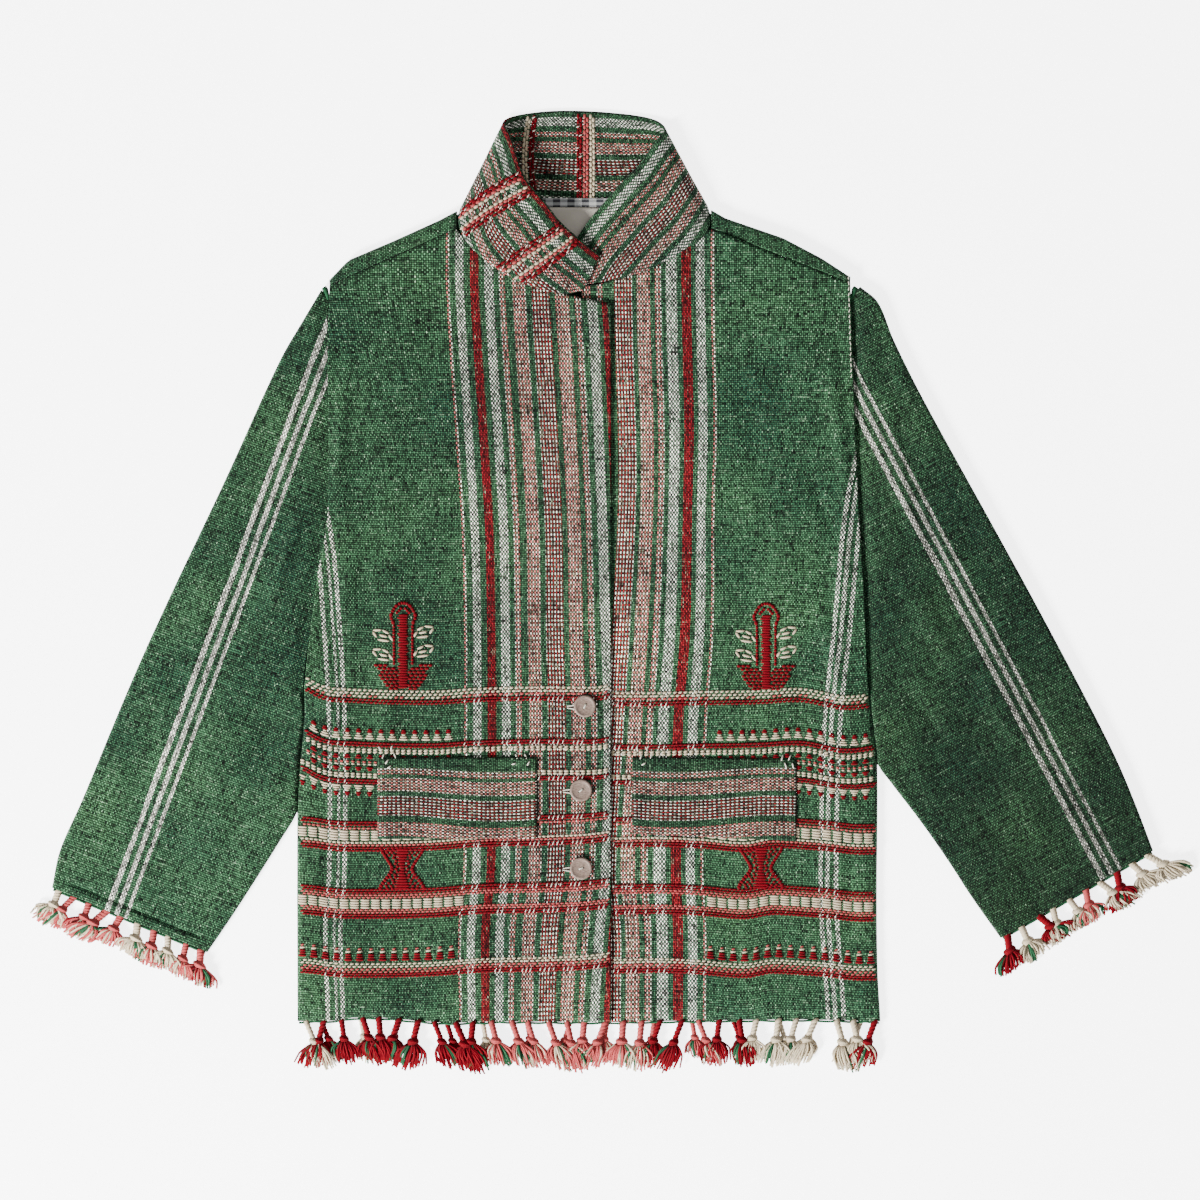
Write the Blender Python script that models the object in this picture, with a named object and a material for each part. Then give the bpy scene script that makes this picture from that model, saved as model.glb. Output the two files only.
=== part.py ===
"""A handwoven wool jacket laid flat on its back, fronts up, collar towards +Y.

Every piece is cut as the maker cuts it: one back, two fronts, two sleeves, one
collar strip, two pocket flaps, three buttons, the neck tape with its label, and
the knotted fringes of hem and cuffs. X and Y lie in the table, Z is up. Left
and right are the viewer's. The short tables give sizes in millimetres.
"""
import math
from collections import namedtuple

import bmesh
import bpy
from mathutils import Vector

# Driving sizes, in metres
MM = 0.001
WALL = 1.8 * MM                # the woven wool
SEAM = 0.3 * MM                # air between two pieces that are sewn together
FRONT_REST = 5.6 * MM          # underside of the fronts
UNDERLAP_REST = 5.1 * MM       # underside of the right front below the left one
PLACKET_LIFT = 1.9 * MM        # how far the left front climbs over the right one
PLACKET_LEAD = 16 * MM         # how far before the underlap the placket starts to rise
PLACKET_BLEND = 12 * MM        # the length over which it rises
ARMHOLE_REST = 5.8 * MM        # underside of the fronts where they cover a sleeve
SIDE_REST = 2.2 * MM           # underside of the fronts at the side seams
HEM_REST = 3.0 * MM            # underside of the fronts at the hem
ROLL = 13.0 * MM               # how far in from a side seam the cloth has risen
ARMHOLE_LEAD = 34 * MM         # how far below the underarm the fronts' edge starts to rise
ARMHOLE_BLEND = 60 * MM        # the length over which it rises
CENTRE_HALF = 60 * MM          # half the flat width along the closure
CENTRE_BLEND = 26 * MM         # the width over which the folds fade towards it
HEM_BLEND = 12 * MM            # the height over which the fronts settle to the hem
SHOULDER_BLEND = 20 * MM       # the length over which they settle to the shoulder seam
NECK_HALF = 96 * MM            # the neck's half width, which has no shoulder seam
PLACKET_EDGE_X = 6.8 * MM      # the left front ends here, on top
UNDERLAP_EDGE_X = -19.4 * MM   # the right front ends here, below
FOLD_RADIUS = 2.8 * MM         # the shoulder fold, at mid wall
SLEEVE_TOP = 6.2 * MM          # mid wall of a sleeve's upper layer
SLEEVE_TUCK = 8.0 * MM         # the sleeve runs this far under the front's edge
SLEEVE_TUCK_Z = 4.2 * MM       # and is this high there, at mid wall
ARMHOLE_GAP = 0.9 * MM         # between the flat edges of body and sleeve
SLEEVE_RISE = 14.0 * MM        # how far from the armhole the sleeve reaches its height
SLEEVE_HEAD_Y = 266.0 * MM
UNDERARM_Y = -96.8 * MM
SLEEVE_HEAD_ROWS = 10
SLEEVE_ARM_ROWS = 7
SLEEVE_ACROSS = (0.0, 0.09, 0.22, 0.36, 0.5, 0.64, 0.77, 0.88, 0.95, 1.0)
FLAP_GAP = 0.4 * MM
FLAP_WALL = 1.8 * MM
BUTTON_RADIUS = 10.0 * MM
BUTTON_THICKNESS = 2.6 * MM
BUTTON_HOLE_RADIUS = 0.9 * MM
BUTTON_HOLE_APART = 4.2 * MM
TAPE_WALL = 0.8 * MM
STRIP_DEPTH = 2.0 * MM         # the narrow band that a fringe's knots share
STEM_LENGTH = 19.0 * MM
KNOT_LENGTH = 5.0 * MM
TASSEL_HALF = 5.6              # half the width of its head, in millimetres
LOCK_HALF = 1.6 * MM           # half the width of a lock at its tip
LOCK_LENGTH = 18.2 * MM
HEM_LOW = -387.4 * MM          # the lowest place of the hem

# Colours of the yarns
GREEN = (0.043, 0.108, 0.050)
RED = (0.30, 0.012, 0.022)
PINK = (0.62, 0.20, 0.17)
CREAM = (0.66, 0.58, 0.45)
BUTTON_GREY = (0.24, 0.20, 0.17)
TAPE_GREY = (0.16, 0.16, 0.16)


def table(columns, *rows):
    """A short table, whose rows are read by the names of their columns."""
    row_type = namedtuple("Row", columns)
    return [row_type(*row) for row in rows]


# The side edge of the body on each side, from the shoulder's tip to the hem
LEFT_SIDE = table("x y", (-246.2, 278.6), (-248.0, 227.0), (-248.0, 71.5), (-257.9, 11.0),
                  (-268.7, -81.5), (-268.5, -110.0), (-272.2, -151.0), (-274.9, -199.0),
                  (-274.9, -385.7))
RIGHT_SIDE = table("x y", (221.8, 282.0), (224.6, 191.0), (229.1, 83.0), (234.5, -7.0),
                   (238.1, -88.0), (242.6, -128.0), (245.8, -155.0), (245.4, -277.0),
                   (246.2, -340.0), (248.8, -385.7))
HEM = table("x y", (-274.9, -385.5), (-240.8, -384.8), (-225.5, -382.3), (-201.2, -382.1),
            (-165.2, -385.5), (-140.0, -387.2), (-93.0, -385.7), (7.7, -386.4),
            (87.0, -384.8), (177.0, -383.9), (248.8, -385.7))

# The shoulder's fold, and the seam a little in front of it, from tip to neck
LEFT_FOLD = table("x y", (-246.2, 280.6), (-229.0, 298.4), (-186.8, 316.4), (-147.2, 334.4),
                  (-131.8, 342.5))
LEFT_SEAM = table("x y", (-246.2, 276.2), (-131.8, 327.2))
RIGHT_FOLD = table("x y", (96.8, 343.5), (109.4, 336.2), (161.6, 318.2), (195.8, 300.2),
                   (221.8, 283.2))
RIGHT_SEAM = table("x y", (96.8, 327.2), (221.8, 278.2))

# The neckline of each front, from the shoulder to the centre
LEFT_NECK = table("x y", (-131.8, 327.2), (-123.8, 317.2), (-111.2, 303.8), (-86.9, 290.2),
                  (-68.0, 281.2), (-39.1, 270.6), (-23.9, 265.9), (6.8, 259.7))
RIGHT_NECK = table("x y", (-19.4, 274.9), (-3.1, 277.7), (14.8, 283.1), (37.4, 290.2),
                   (58.1, 300.2), (86.9, 319.1), (96.8, 327.2))
BACK_NECK = table("x y", (-131.8, 342.5), (-118.0, 345.0), (-106.0, 347.4), (71.0, 347.4),
                  (83.0, 345.0), (96.8, 343.5))

# The outer edge of each sleeve, from the shoulder to the cuff, and its inner edge from
# where it leaves the body's side
LEFT_SLEEVE_OUTER = table("x y", (-254.2, 272.4), (-270.4, 245.2), (-291.2, 209.2),
                          (-340.7, 101.2), (-391.9, -6.8), (-424.4, -78.8), (-469.4, -186.8),
                          (-489.2, -231.8), (-496.4, -265.1))
LEFT_SLEEVE_INNER = table("x y", (-275.9, -198.5), (-290.2, -222.8), (-312.8, -258.8), (-334.4, -292.1),
                          (-355.9, -323.6))
RIGHT_SLEEVE_OUTER = table("x y", (231.0, 275.4), (247.1, 261.4), (261.4, 227.2),
                           (288.4, 173.2), (347.9, 65.2), (387.4, -6.8), (435.2, -96.8),
                           (462.2, -150.8), (479.2, -191.2), (494.6, -231.8))
RIGHT_SLEEVE_INNER = table("x y", (246.9, -155.0), (258.8, -172.0),
                           (283.9, -204.8), (309.2, -240.8), (330.8, -274.1),
                           (356.9, -310.9))

# The collar strip, from the left front end round the neck to the right one. Each
# row has the seam edge and then the top edge, at mid wall.
COLLAR = table(
    "seam_x seam_y seam_z top_x top_y top_z",
    (-17.6, 271.4, 10.9, -3.1, 302.9, 12.4),
    (-39.1, 268.7, 10.8, -21.2, 317.2, 13.6),
    (-71.5, 277.7, 9.0, -39.1, 333.4, 14.6),
    (-90.5, 287.6, 8.9, -52.6, 350.6, 15.0),
    (-111.2, 302.6, 8.9, -70.7, 373.1, 14.8),
    (-124.6, 317.0, 8.9, -78.8, 396.4, 13.6),
    (-129.3, 328.0, 8.6, -84.2, 411.8, 11.4),
    (-130.0, 336.6, 6.2, -89.5, 420.7, 7.4),
    (-128.4, 344.7, 3.7, -88.2, 425.0, 3.6),
    (-124.2, 350.3, 1.6, -82.2, 428.2, 1.6),
    (-111.2, 349.9, 0.9, -69.5, 430.9, 0.9),
    (-66.2, 349.7, 0.9, -46.0, 433.3, 0.9),
    (-17.6, 349.7, 0.9, -17.6, 433.3, 0.9),
    (32.9, 349.7, 0.9, 11.0, 431.4, 0.9),
    (77.9, 349.9, 0.9, 34.6, 428.4, 0.9),
    (90.6, 350.6, 1.6, 46.9, 425.0, 1.6),
    (94.0, 344.6, 3.7, 53.0, 420.4, 3.6),
    (95.6, 336.8, 6.2, 55.0, 415.4, 7.0),
    (94.6, 328.0, 8.6, 49.6, 408.8, 9.8),
    (89.5, 319.6, 8.9, 41.9, 398.4, 11.0),
    (77.9, 311.4, 8.9, 32.9, 385.8, 11.2),
    (58.1, 299.0, 8.9, 16.7, 368.8, 10.8),
    (37.4, 289.2, 8.8, 1.0, 350.9, 10.0),
    (14.8, 282.4, 8.6, -14.0, 333.4, 9.2),
    (-8.3, 278.2, 8.4, -28.4, 311.9, 8.7),
    (-24.8, 276.4, 8.3, -38.1, 302.9, 8.4),
)
COLLAR_BELLY = 1.2             # how far the strip bows out between its edges

# Soft folds in the fronts and sleeves: the middle, the way it runs, its length and
# width between the places where it has died away, and its height
FRONT_FOLDS = table(
    "x y turn length width height",
    (-232.0, 40.0, 94.0, 300.0, 26.0, 1.7),
    (-246.0, -90.0, 98.0, 120.0, 30.0, 1.6),
    (-180.0, -60.0, 80.0, 190.0, 60.0, 1.3),
    (-90.0, 140.0, 86.0, 210.0, 70.0, 1.1),
    (-150.0, -300.0, 84.0, 150.0, 60.0, 1.4),
    (-228.0, -330.0, 92.0, 100.0, 44.0, 1.5),
    (214.0, 20.0, 88.0, 330.0, 24.0, 1.9),
    (218.0, -120.0, 80.0, 120.0, 36.0, 1.6),
    (150.0, 60.0, 96.0, 240.0, 64.0, 1.2),
    (90.0, -310.0, 92.0, 150.0, 70.0, 1.3),
    (200.0, -320.0, 97.0, 130.0, 40.0, 1.5),
)
SLEEVE_FOLDS = table(
    "x y turn length width height",
    (-286.0, 30.0, 70.0, 130.0, 22.0, 2.6),
    (-302.0, -60.0, 60.0, 130.0, 26.0, 2.4),
    (-340.0, -120.0, 74.0, 190.0, 40.0, 1.8),
    (-390.0, -180.0, 68.0, 120.0, 36.0, 1.5),
    (276.0, 70.0, 112.0, 150.0, 24.0, 2.4),
    (300.0, -40.0, 122.0, 150.0, 28.0, 2.6),
    (360.0, -110.0, 112.0, 190.0, 40.0, 1.8),
    (390.0, -200.0, 106.0, 120.0, 40.0, 1.5),
)

# Pocket flaps, by their four corners
FLAP_CORNERS = {
    "pocket_flap_left": table("x y", (-203.0, -221.5), (-59.9, -221.0), (-59.9, -148.0),
                              (-203.0, -148.5)),
    "pocket_flap_right": table("x y", (25.7, -216.8), (173.2, -223.2), (173.2, -149.8),
                               (25.7, -148.1)),
}
BUTTONS = table("name x y turn", ("button_1", -16.7, -102.2, 62.0),
                ("button_2", -20.2, -177.8, 38.0), ("button_3", -20.2, -248.0, 20.0))


def smoothstep(t):
    t = min(max(t, 0.0), 1.0)
    return t * t * (3.0 - 2.0 * t)


def hermite(p0, p1, m0, m1, t):
    """The cubic between two values that leaves and arrives with the given slopes."""
    t2 = t * t
    t3 = t2 * t
    return (2 * t3 - 3 * t2 + 1) * p0 + (t3 - 2 * t2 + t) * m0 + (3 * t2 - 2 * t3) * p1 + (t3 - t2) * m1


def read(knots, values, at):
    """A smooth value at a place among rising knots."""
    at = min(max(at, knots[0]), knots[-1])
    i = 0
    while i < len(knots) - 2 and at > knots[i + 1]:
        i += 1
    slopes = []
    for k in (i, i + 1):
        low = max(k - 1, 0)
        high = min(k + 1, len(knots) - 1)
        slopes.append((values[high] - values[low]) / (knots[high] - knots[low]))
    span = knots[i + 1] - knots[i]
    return hermite(values[i], values[i + 1], slopes[0] * span, slopes[1] * span, (at - knots[i]) / span)


def straight(knots, values, at):
    """The value on the broken line through the rows, which keeps their corners."""
    at = min(max(at, knots[0]), knots[-1])
    i = 0
    while i < len(knots) - 2 and at > knots[i + 1]:
        i += 1
    share = (at - knots[i]) / (knots[i + 1] - knots[i])
    return values[i] + (values[i + 1] - values[i]) * share


def x_at(rows, y):
    """Where a side edge is at a height on the garment, in metres."""
    rows = sorted(rows, key=lambda r: r.y)
    return read([r.y for r in rows], [r.x for r in rows], y / MM) * MM


def y_at(rows, x):
    """Where a top or bottom edge is at a place across the garment, in metres."""
    return straight([r.x for r in rows], [r.y for r in rows], x / MM) * MM


def along(rows, share):
    """The place at a share of the length of an edge, in metres."""
    lengths = [0.0]
    for a, b in zip(rows, rows[1:]):
        lengths.append(lengths[-1] + math.hypot(b.x - a.x, b.y - a.y))
    at = share * lengths[-1]
    return Vector((read(lengths, [r.x for r in rows], at), read(lengths, [r.y for r in rows], at))) * MM


def folds_at(rows, x, y):
    """The height of the soft folds at a place."""
    total = 0.0
    for row in rows:
        turn = math.radians(row.turn)
        dx = x / MM - row.x
        dy = y / MM - row.y
        run = (dx * math.cos(turn) + dy * math.sin(turn)) / (row.length / 2)
        side = (dy * math.cos(turn) - dx * math.sin(turn)) / (row.width / 2)
        if abs(run) < 1 and abs(side) < 1:
            total += row.height * (1 - run * run) ** 2 * (1 - side * side) ** 2
    return total * MM


def steps(first, last, count):
    return [first + (last - first) * k / count for k in range(count + 1)]


def material(name, colour, roughness):
    made = bpy.data.materials.new(name)
    made.use_nodes = True
    shader = made.node_tree.nodes["Principled BSDF"]
    shader.inputs["Base Color"].default_value = (*colour, 1.0)
    shader.inputs["Roughness"].default_value = roughness
    shader.inputs["Metallic"].default_value = 0.0
    return made


def add(name, mesh, colour, roughness=0.9):
    """Make the named solid, with a material of its own."""
    mesh.validate()
    solid = bpy.data.objects.new(name, mesh)
    bpy.context.collection.objects.link(solid)
    mesh.materials.append(material(name, colour, roughness))
    mesh.shade_smooth()
    mesh.set_sharp_from_angle(angle=math.radians(50))
    return solid


def cloth(name, patches, colour, wall=WALL):
    """A wall of cloth about grids of mid-wall points. Grids that share an edge are
    one piece along it."""
    vertices = []
    index = {}
    faces = []

    def number(point):
        key = tuple(round(c / (0.02 * MM)) for c in point)
        if key not in index:
            index[key] = len(vertices)
            vertices.append(point)
        return index[key]

    for grid in patches:
        for low, high in zip(grid, grid[1:]):
            for k in range(len(low) - 1):
                faces.append([number(p) for p in (low[k], low[k + 1], high[k + 1], high[k])])
    mesh = bpy.data.meshes.new(name)
    mesh.from_pydata(vertices, [], faces)
    solid = add(name, mesh, colour)
    thicken = solid.modifiers.new("wall", "SOLIDIFY")
    thicken.thickness = wall
    thicken.offset = 0.0
    thicken.use_even_offset = False
    return solid


def front_underside(x, y):
    """How high the underside of a front lies at a place on it, in metres."""
    left = x < PLACKET_EDGE_X
    inside = x - x_at(LEFT_SIDE, y) if x < 0 else x_at(RIGHT_SIDE, y) - x
    armhole = smoothstep((y - UNDERARM_Y + ARMHOLE_LEAD) / ARMHOLE_BLEND)
    edge = SIDE_REST + (ARMHOLE_REST - SIDE_REST) * armhole
    centre = smoothstep((CENTRE_HALF - abs(x - UNDERLAP_EDGE_X)) / CENTRE_BLEND)
    full = FRONT_REST + (1 - centre) * folds_at(FRONT_FOLDS, x, y)
    risen = math.sqrt(1 - (1 - min(max(inside / ROLL, 0.0), 1.0)) ** 2)
    z = edge + (full - edge) * risen
    hem = y - y_at(HEM, x)
    z = HEM_REST + (z - HEM_REST) * smoothstep(hem / HEM_BLEND) if z > HEM_REST else z
    shoulder = LEFT_SEAM if x < 0 else RIGHT_SEAM
    down = y_at(shoulder, x) - y
    if abs(x) <= NECK_HALF:
        return z
    return ARMHOLE_REST + (z - ARMHOLE_REST) * smoothstep(down / SHOULDER_BLEND)


def left_front_underside(x, y):
    """The left front also climbs onto the right one, towards the placket."""
    lapped = smoothstep((x - UNDERLAP_EDGE_X + PLACKET_LEAD) / PLACKET_BLEND)
    return front_underside(x, y) + PLACKET_LIFT * lapped


def right_front_underside(x, y):
    """The right front dips where the left one covers it."""
    dip = smoothstep((PLACKET_EDGE_X + PLACKET_BLEND - x) / PLACKET_BLEND)
    return front_underside(x, y) - (FRONT_REST - UNDERLAP_REST) * dip


def front_grid(outer, centre_x, top, underside, across_steps, up_steps):
    """The mid-wall grid of a front: rows from hem to top, from the side to the centre."""
    columns = []
    for across in across_steps:
        x = x_at(outer, top[0].y * MM)
        for _ in range(12):
            y_top = y_at(top, x)
            edge = x_at(outer, y_top)
            x = edge + across * (centre_x - edge)
        column = []
        for up in up_steps:
            y = 0.0
            for _ in range(4):
                edge = x_at(outer, y)
                x = edge + across * (centre_x - edge)
                y_hem = y_at(HEM, x)
                y = y_hem + up * (y_top - y_hem)
            column.append(Vector((x, y, underside(x, y) + WALL / 2)))
        columns.append(column)
    return [list(row) for row in zip(*columns)]


FRONT_UP = [0.0, 0.018, 0.05, 0.12, 0.19, 0.26, 0.33, 0.40, 0.47, 0.54, 0.61, 0.68, 0.76, 0.84, 0.91,
            0.97, 1.0]
SHOULDER_ACROSS = [0.0, 0.018, 0.055, 0.11, 0.19, 0.30, 0.44, 0.62, 0.82, 1.0]
NECK_ACROSS = [0.16, 0.33, 0.50, 0.66, 0.78, 0.89, 1.0]


def front_across(tip_x, neck_x, centre_x):
    """Where the columns of a front stand, one of them at the neck end of its shoulder."""
    neck = (neck_x - tip_x) / (centre_x - tip_x)
    return [neck * a for a in SHOULDER_ACROSS] + [neck + (1 - neck) * a for a in NECK_ACROSS]


def make_fronts():
    left_top = LEFT_SEAM[:-1] + LEFT_NECK
    right_top = RIGHT_NECK + RIGHT_SEAM[1:]
    left_across = front_across(LEFT_SIDE[0].x, LEFT_NECK[0].x, PLACKET_EDGE_X / MM)
    right_across = front_across(RIGHT_SIDE[0].x, RIGHT_NECK[-1].x, UNDERLAP_EDGE_X / MM)
    left = front_grid(LEFT_SIDE, PLACKET_EDGE_X, left_top, left_front_underside, left_across, FRONT_UP)
    right = front_grid(RIGHT_SIDE, UNDERLAP_EDGE_X, right_top, right_front_underside, right_across,
                       FRONT_UP)
    right = [row[::-1] for row in right]
    cloth("front_left", [left], GREEN)
    cloth("front_right", [right], GREEN)


BACK_UP = [0.0, 0.05, 0.14, 0.23, 0.32, 0.41, 0.50, 0.59, 0.64, 0.69, 0.74, 0.82, 0.91, 1.0]


def make_back():
    """The back lies on the table, folds over at the shoulders and meets the fronts."""
    tip = LEFT_SIDE[0].x
    width = RIGHT_SIDE[0].x - tip
    neck_left = (LEFT_FOLD[-1].x - tip) / width
    neck_right = (RIGHT_FOLD[0].x - tip) / width
    spans = [steps(0.0, neck_left, 5), steps(neck_left, neck_right, 9), steps(neck_right, 1.0, 5)]
    tops = [LEFT_FOLD, BACK_NECK, RIGHT_FOLD]
    seams = [LEFT_SEAM, None, RIGHT_SEAM]
    high = FRONT_REST + WALL / 2
    patches = []
    for span, top, seam in zip(spans, tops, seams):
        flat = []
        wraps = []
        for across in span:
            x_top = (tip + across * width) * MM
            y_top = y_at(top, x_top) - (FOLD_RADIUS if seam else 0.0)
            if abs(across - neck_left) < 1e-9 or abs(across - neck_right) < 1e-9:
                y_top = y_at(LEFT_FOLD if across < 0.5 else RIGHT_FOLD, x_top) - FOLD_RADIUS
            column = []
            for up in BACK_UP:
                y = 0.0
                for _ in range(4):
                    left = x_at(LEFT_SIDE, y)
                    x = left + across * (x_at(RIGHT_SIDE, y) - left)
                    y_hem = y_at(HEM, x)
                    y = y_hem + up * (y_top - y_hem)
                column.append(Vector((x, y, WALL / 2)))
            flat.append(column)
            if seam:
                start = column[-1]
                middle = (WALL / 2 + high) / 2
                wrap = [start]
                for k in range(1, 7):
                    turn = math.pi * k / 6
                    y = start.y + FOLD_RADIUS * math.sin(turn)
                    wrap.append(Vector((start.x, y, middle - (high - middle) * math.cos(turn))))
                y_seam = min(y_at(seam, start.x) + 0.5 * MM, start.y - 0.3 * MM)
                wrap.append(Vector((start.x, y_seam, ARMHOLE_REST + WALL / 2)))
                wraps.append(wrap)
        patches.append([list(row) for row in zip(*flat)])
        if seam:
            patches.append([list(row) for row in zip(*wraps)])
    cloth("back", patches, GREEN)


def sleeve_edge(body, free, side):
    """The sleeve's edge towards the body: along the armhole, on beside the body, and
    then free of it down to the cuff."""
    rows = []
    for y in steps(SLEEVE_HEAD_Y, free[0].y * MM, 12):
        rows += table("x y", (x_at(body, y) / MM + side * ARMHOLE_GAP / MM, y / MM))
    return rows + free[1:]


def share_at(rows, y):
    """The share of an edge's length that lies above a height on the garment."""
    lengths = [math.hypot(b.x - a.x, b.y - a.y) for a, b in zip(rows, rows[1:])]
    above = sum(length for length, b in zip(lengths, rows[1:]) if b.y >= y)
    return above / sum(lengths)


def sleeve(name, outer, body, free, side):
    """A flattened tube: a flat lower layer, an upper layer that runs under the front's
    edge at the armhole, a fold along the outer edge, and one from underarm to cuff."""
    inner = sleeve_edge(body, free, side)
    underarm = share_at(inner, UNDERARM_Y / MM)
    shares = steps(0.0, underarm, SLEEVE_HEAD_ROWS) + steps(underarm, 1.0, SLEEVE_ARM_ROWS)[1:]
    low_z = WALL / 2
    upper, lower, outer_fold, inner_fold = [], [], [], []
    for k, share in enumerate(shares):
        start = along(outer, share)
        end = along(inner, share)
        way = (end - start).normalized()
        length = (end - start).length
        risen = smoothstep((length - SLEEVE_TOP / 2) / SLEEVE_RISE) if k < SLEEVE_HEAD_ROWS else 1.0
        high_z = SLEEVE_TUCK_Z + (SLEEVE_TOP - SLEEVE_TUCK_Z) * risen
        radius = (high_z - low_z) / 2
        first = radius + WALL / 2
        closed = k >= SLEEVE_HEAD_ROWS
        last = length - first if closed else length
        tuck = (SLEEVE_TUCK * smoothstep((share - 0.03) / 0.08)
                * smoothstep((underarm - share - 0.05) / 0.08))

        def spot(distance, z):
            place = start + way * distance
            return Vector((place.x, place.y, z))

        row = []
        for across in SLEEVE_ACROSS:
            point = spot(first + across * (last - first), high_z)
            if not closed:
                free_of_body = (last - first) * (1 - across) / SLEEVE_RISE
                settled = smoothstep(free_of_body / max(risen, 0.3))
                point.z = SLEEVE_TUCK_Z + (high_z - SLEEVE_TUCK_Z) * settled
            if 0 < across < 1:
                fold = folds_at(SLEEVE_FOLDS, point.x, point.y)
                point.z += fold * (point.z - SLEEVE_TUCK_Z) / (SLEEVE_TOP - SLEEVE_TUCK_Z)
            row.append(point)
        row[0].z = high_z
        if tuck:
            row[-1] = Vector((row[-1].x - side * tuck, row[-1].y, min(SLEEVE_TUCK_Z, high_z)))
        upper.append(row)
        lower.append([spot(first + across * (last - first), low_z) for across in steps(0.0, 1.0, 5)])
        turns = [math.pi * (j / 4 - 0.5) for j in range(5)]
        middle = (low_z + high_z) / 2
        outer_fold.append([spot(first - radius * math.cos(t), middle + radius * math.sin(t))
                           for t in turns])
        if closed:
            inner_fold.append([spot(last + radius * math.cos(t), middle + radius * math.sin(t))
                               for t in turns])
    patches = [upper, [row[::-1] for row in lower], outer_fold, [row[::-1] for row in inner_fold]]
    if side < 0:
        patches = [[row[::-1] for row in patch] for patch in patches]
    cloth(name, patches, GREEN)


def make_sleeves():
    sleeve("sleeve_left", LEFT_SLEEVE_OUTER, LEFT_SIDE, LEFT_SLEEVE_INNER, -1)
    sleeve("sleeve_right", RIGHT_SLEEVE_OUTER, RIGHT_SIDE, RIGHT_SLEEVE_INNER, 1)


def make_collar():
    """One strip round the neck, its back flat on the table and its fronts standing."""
    knots = [0.0]
    for a, b in zip(COLLAR, COLLAR[1:]):
        step = math.hypot(b.seam_x - a.seam_x, b.seam_y - a.seam_y, b.seam_z - a.seam_z)
        rise = math.hypot(b.top_x - a.top_x, b.top_y - a.top_y, b.top_z - a.top_z)
        knots.append(knots[-1] + (step + rise) / 2)
    rows = []
    stations = []
    for a, b in zip(knots, knots[1:]):
        parts = max(1, round((b - a) / 15))
        stations += steps(a, b, parts)[:-1]
    stations.append(knots[-1])
    columns = {name: [getattr(r, name) for r in COLLAR] for name in COLLAR[0]._fields}
    for at in stations:
        seam = Vector([read(knots, columns["seam_" + c], at) for c in "xyz"])
        top = Vector([read(knots, columns["top_" + c], at) for c in "xyz"])
        seam.z = max(seam.z, 0.9)
        top.z = max(top.z, 0.9)
        belly = COLLAR_BELLY * smoothstep((min(seam.z, top.z) - 6.0) / 3.0)
        row = []
        for up in steps(0.0, 1.0, 5):
            point = seam.lerp(top, up)
            point.z += belly * 4 * up * (1 - up)
            row.append(point * MM)
        rows.append(row)
    cloth("collar", [[row[::-1] for row in rows]], GREEN)


def flap_points(corners, across, up):
    low = Vector((corners[0].x, corners[0].y)).lerp(Vector((corners[1].x, corners[1].y)), across)
    high = Vector((corners[3].x, corners[3].y)).lerp(Vector((corners[2].x, corners[2].y)), across)
    return low.lerp(high, up) * MM


def make_flaps():
    for name, corners in FLAP_CORNERS.items():
        grid = []
        underside = left_front_underside if name.endswith("left") else right_front_underside
        for up in steps(0.0, 1.0, 6):
            row = []
            for across in steps(0.0, 1.0, 10):
                spot = flap_points(corners, across, up)
                z = underside(spot.x, spot.y) + WALL + FLAP_GAP + FLAP_WALL / 2
                row.append(Vector((spot.x, spot.y, z)))
            grid.append(row)
        cloth(name, [grid], RED, wall=FLAP_WALL)


def make_button(name, x, y, turn):
    """A turned disc with a raised rim, a dished face and two holes for the thread."""
    bm = bmesh.new()
    profile = table("r z", (0.0, 0.0), (0.80, 0.0), (0.97, 0.25), (1.0, 0.6), (0.93, 0.95),
                    (0.80, 1.0), (0.68, 0.78), (0.0, 0.72))
    count = 24
    rings = []
    for row in profile[1:-1]:
        ring = []
        for k in range(count):
            angle = 2 * math.pi * k / count
            radius = row.r * BUTTON_RADIUS
            ring.append(bm.verts.new((radius * math.cos(angle), radius * math.sin(angle),
                                      row.z * BUTTON_THICKNESS)))
        rings.append(ring)
    for low, high in zip(rings, rings[1:]):
        for k in range(count):
            n = (k + 1) % count
            bm.faces.new((low[k], low[n], high[n], high[k]))
    bm.faces.new(rings[0][::-1])
    bm.faces.new(rings[-1])
    mesh = bpy.data.meshes.new(name)
    bm.to_mesh(mesh)
    bm.free()
    button = add(name, mesh, BUTTON_GREY, roughness=0.55)
    holes = bmesh.new()
    for side in (-1, 1):
        made = bmesh.ops.create_cone(holes, cap_ends=True, segments=8, radius1=BUTTON_HOLE_RADIUS,
                                     radius2=BUTTON_HOLE_RADIUS, depth=4 * BUTTON_THICKNESS)
        centre = (side * BUTTON_HOLE_APART / 2, 0, BUTTON_THICKNESS / 2)
        bmesh.ops.translate(holes, verts=made["verts"], vec=centre)
    drill_mesh = bpy.data.meshes.new(name + "_holes")
    holes.to_mesh(drill_mesh)
    holes.free()
    drill = bpy.data.objects.new(name + "_holes", drill_mesh)
    bpy.context.collection.objects.link(drill)
    drill.hide_render = True
    drill.display_type = "WIRE"
    drill.parent = button
    cut = button.modifiers.new("holes", "BOOLEAN")
    cut.operation = "DIFFERENCE"
    cut.solver = "EXACT"
    cut.object = drill
    rim = BUTTON_RADIUS / MM
    turns = steps(0, 2 * math.pi, 12)
    spots = [(x + r * math.cos(a), y + r * math.sin(a)) for r in (0.0, rim) for a in turns]
    rest = max(left_front_underside(a * MM, b * MM) for a, b in spots) + WALL + SEAM
    button.location = (x * MM, y * MM, rest)
    button.rotation_euler = (0, 0, math.radians(turn))


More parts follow.
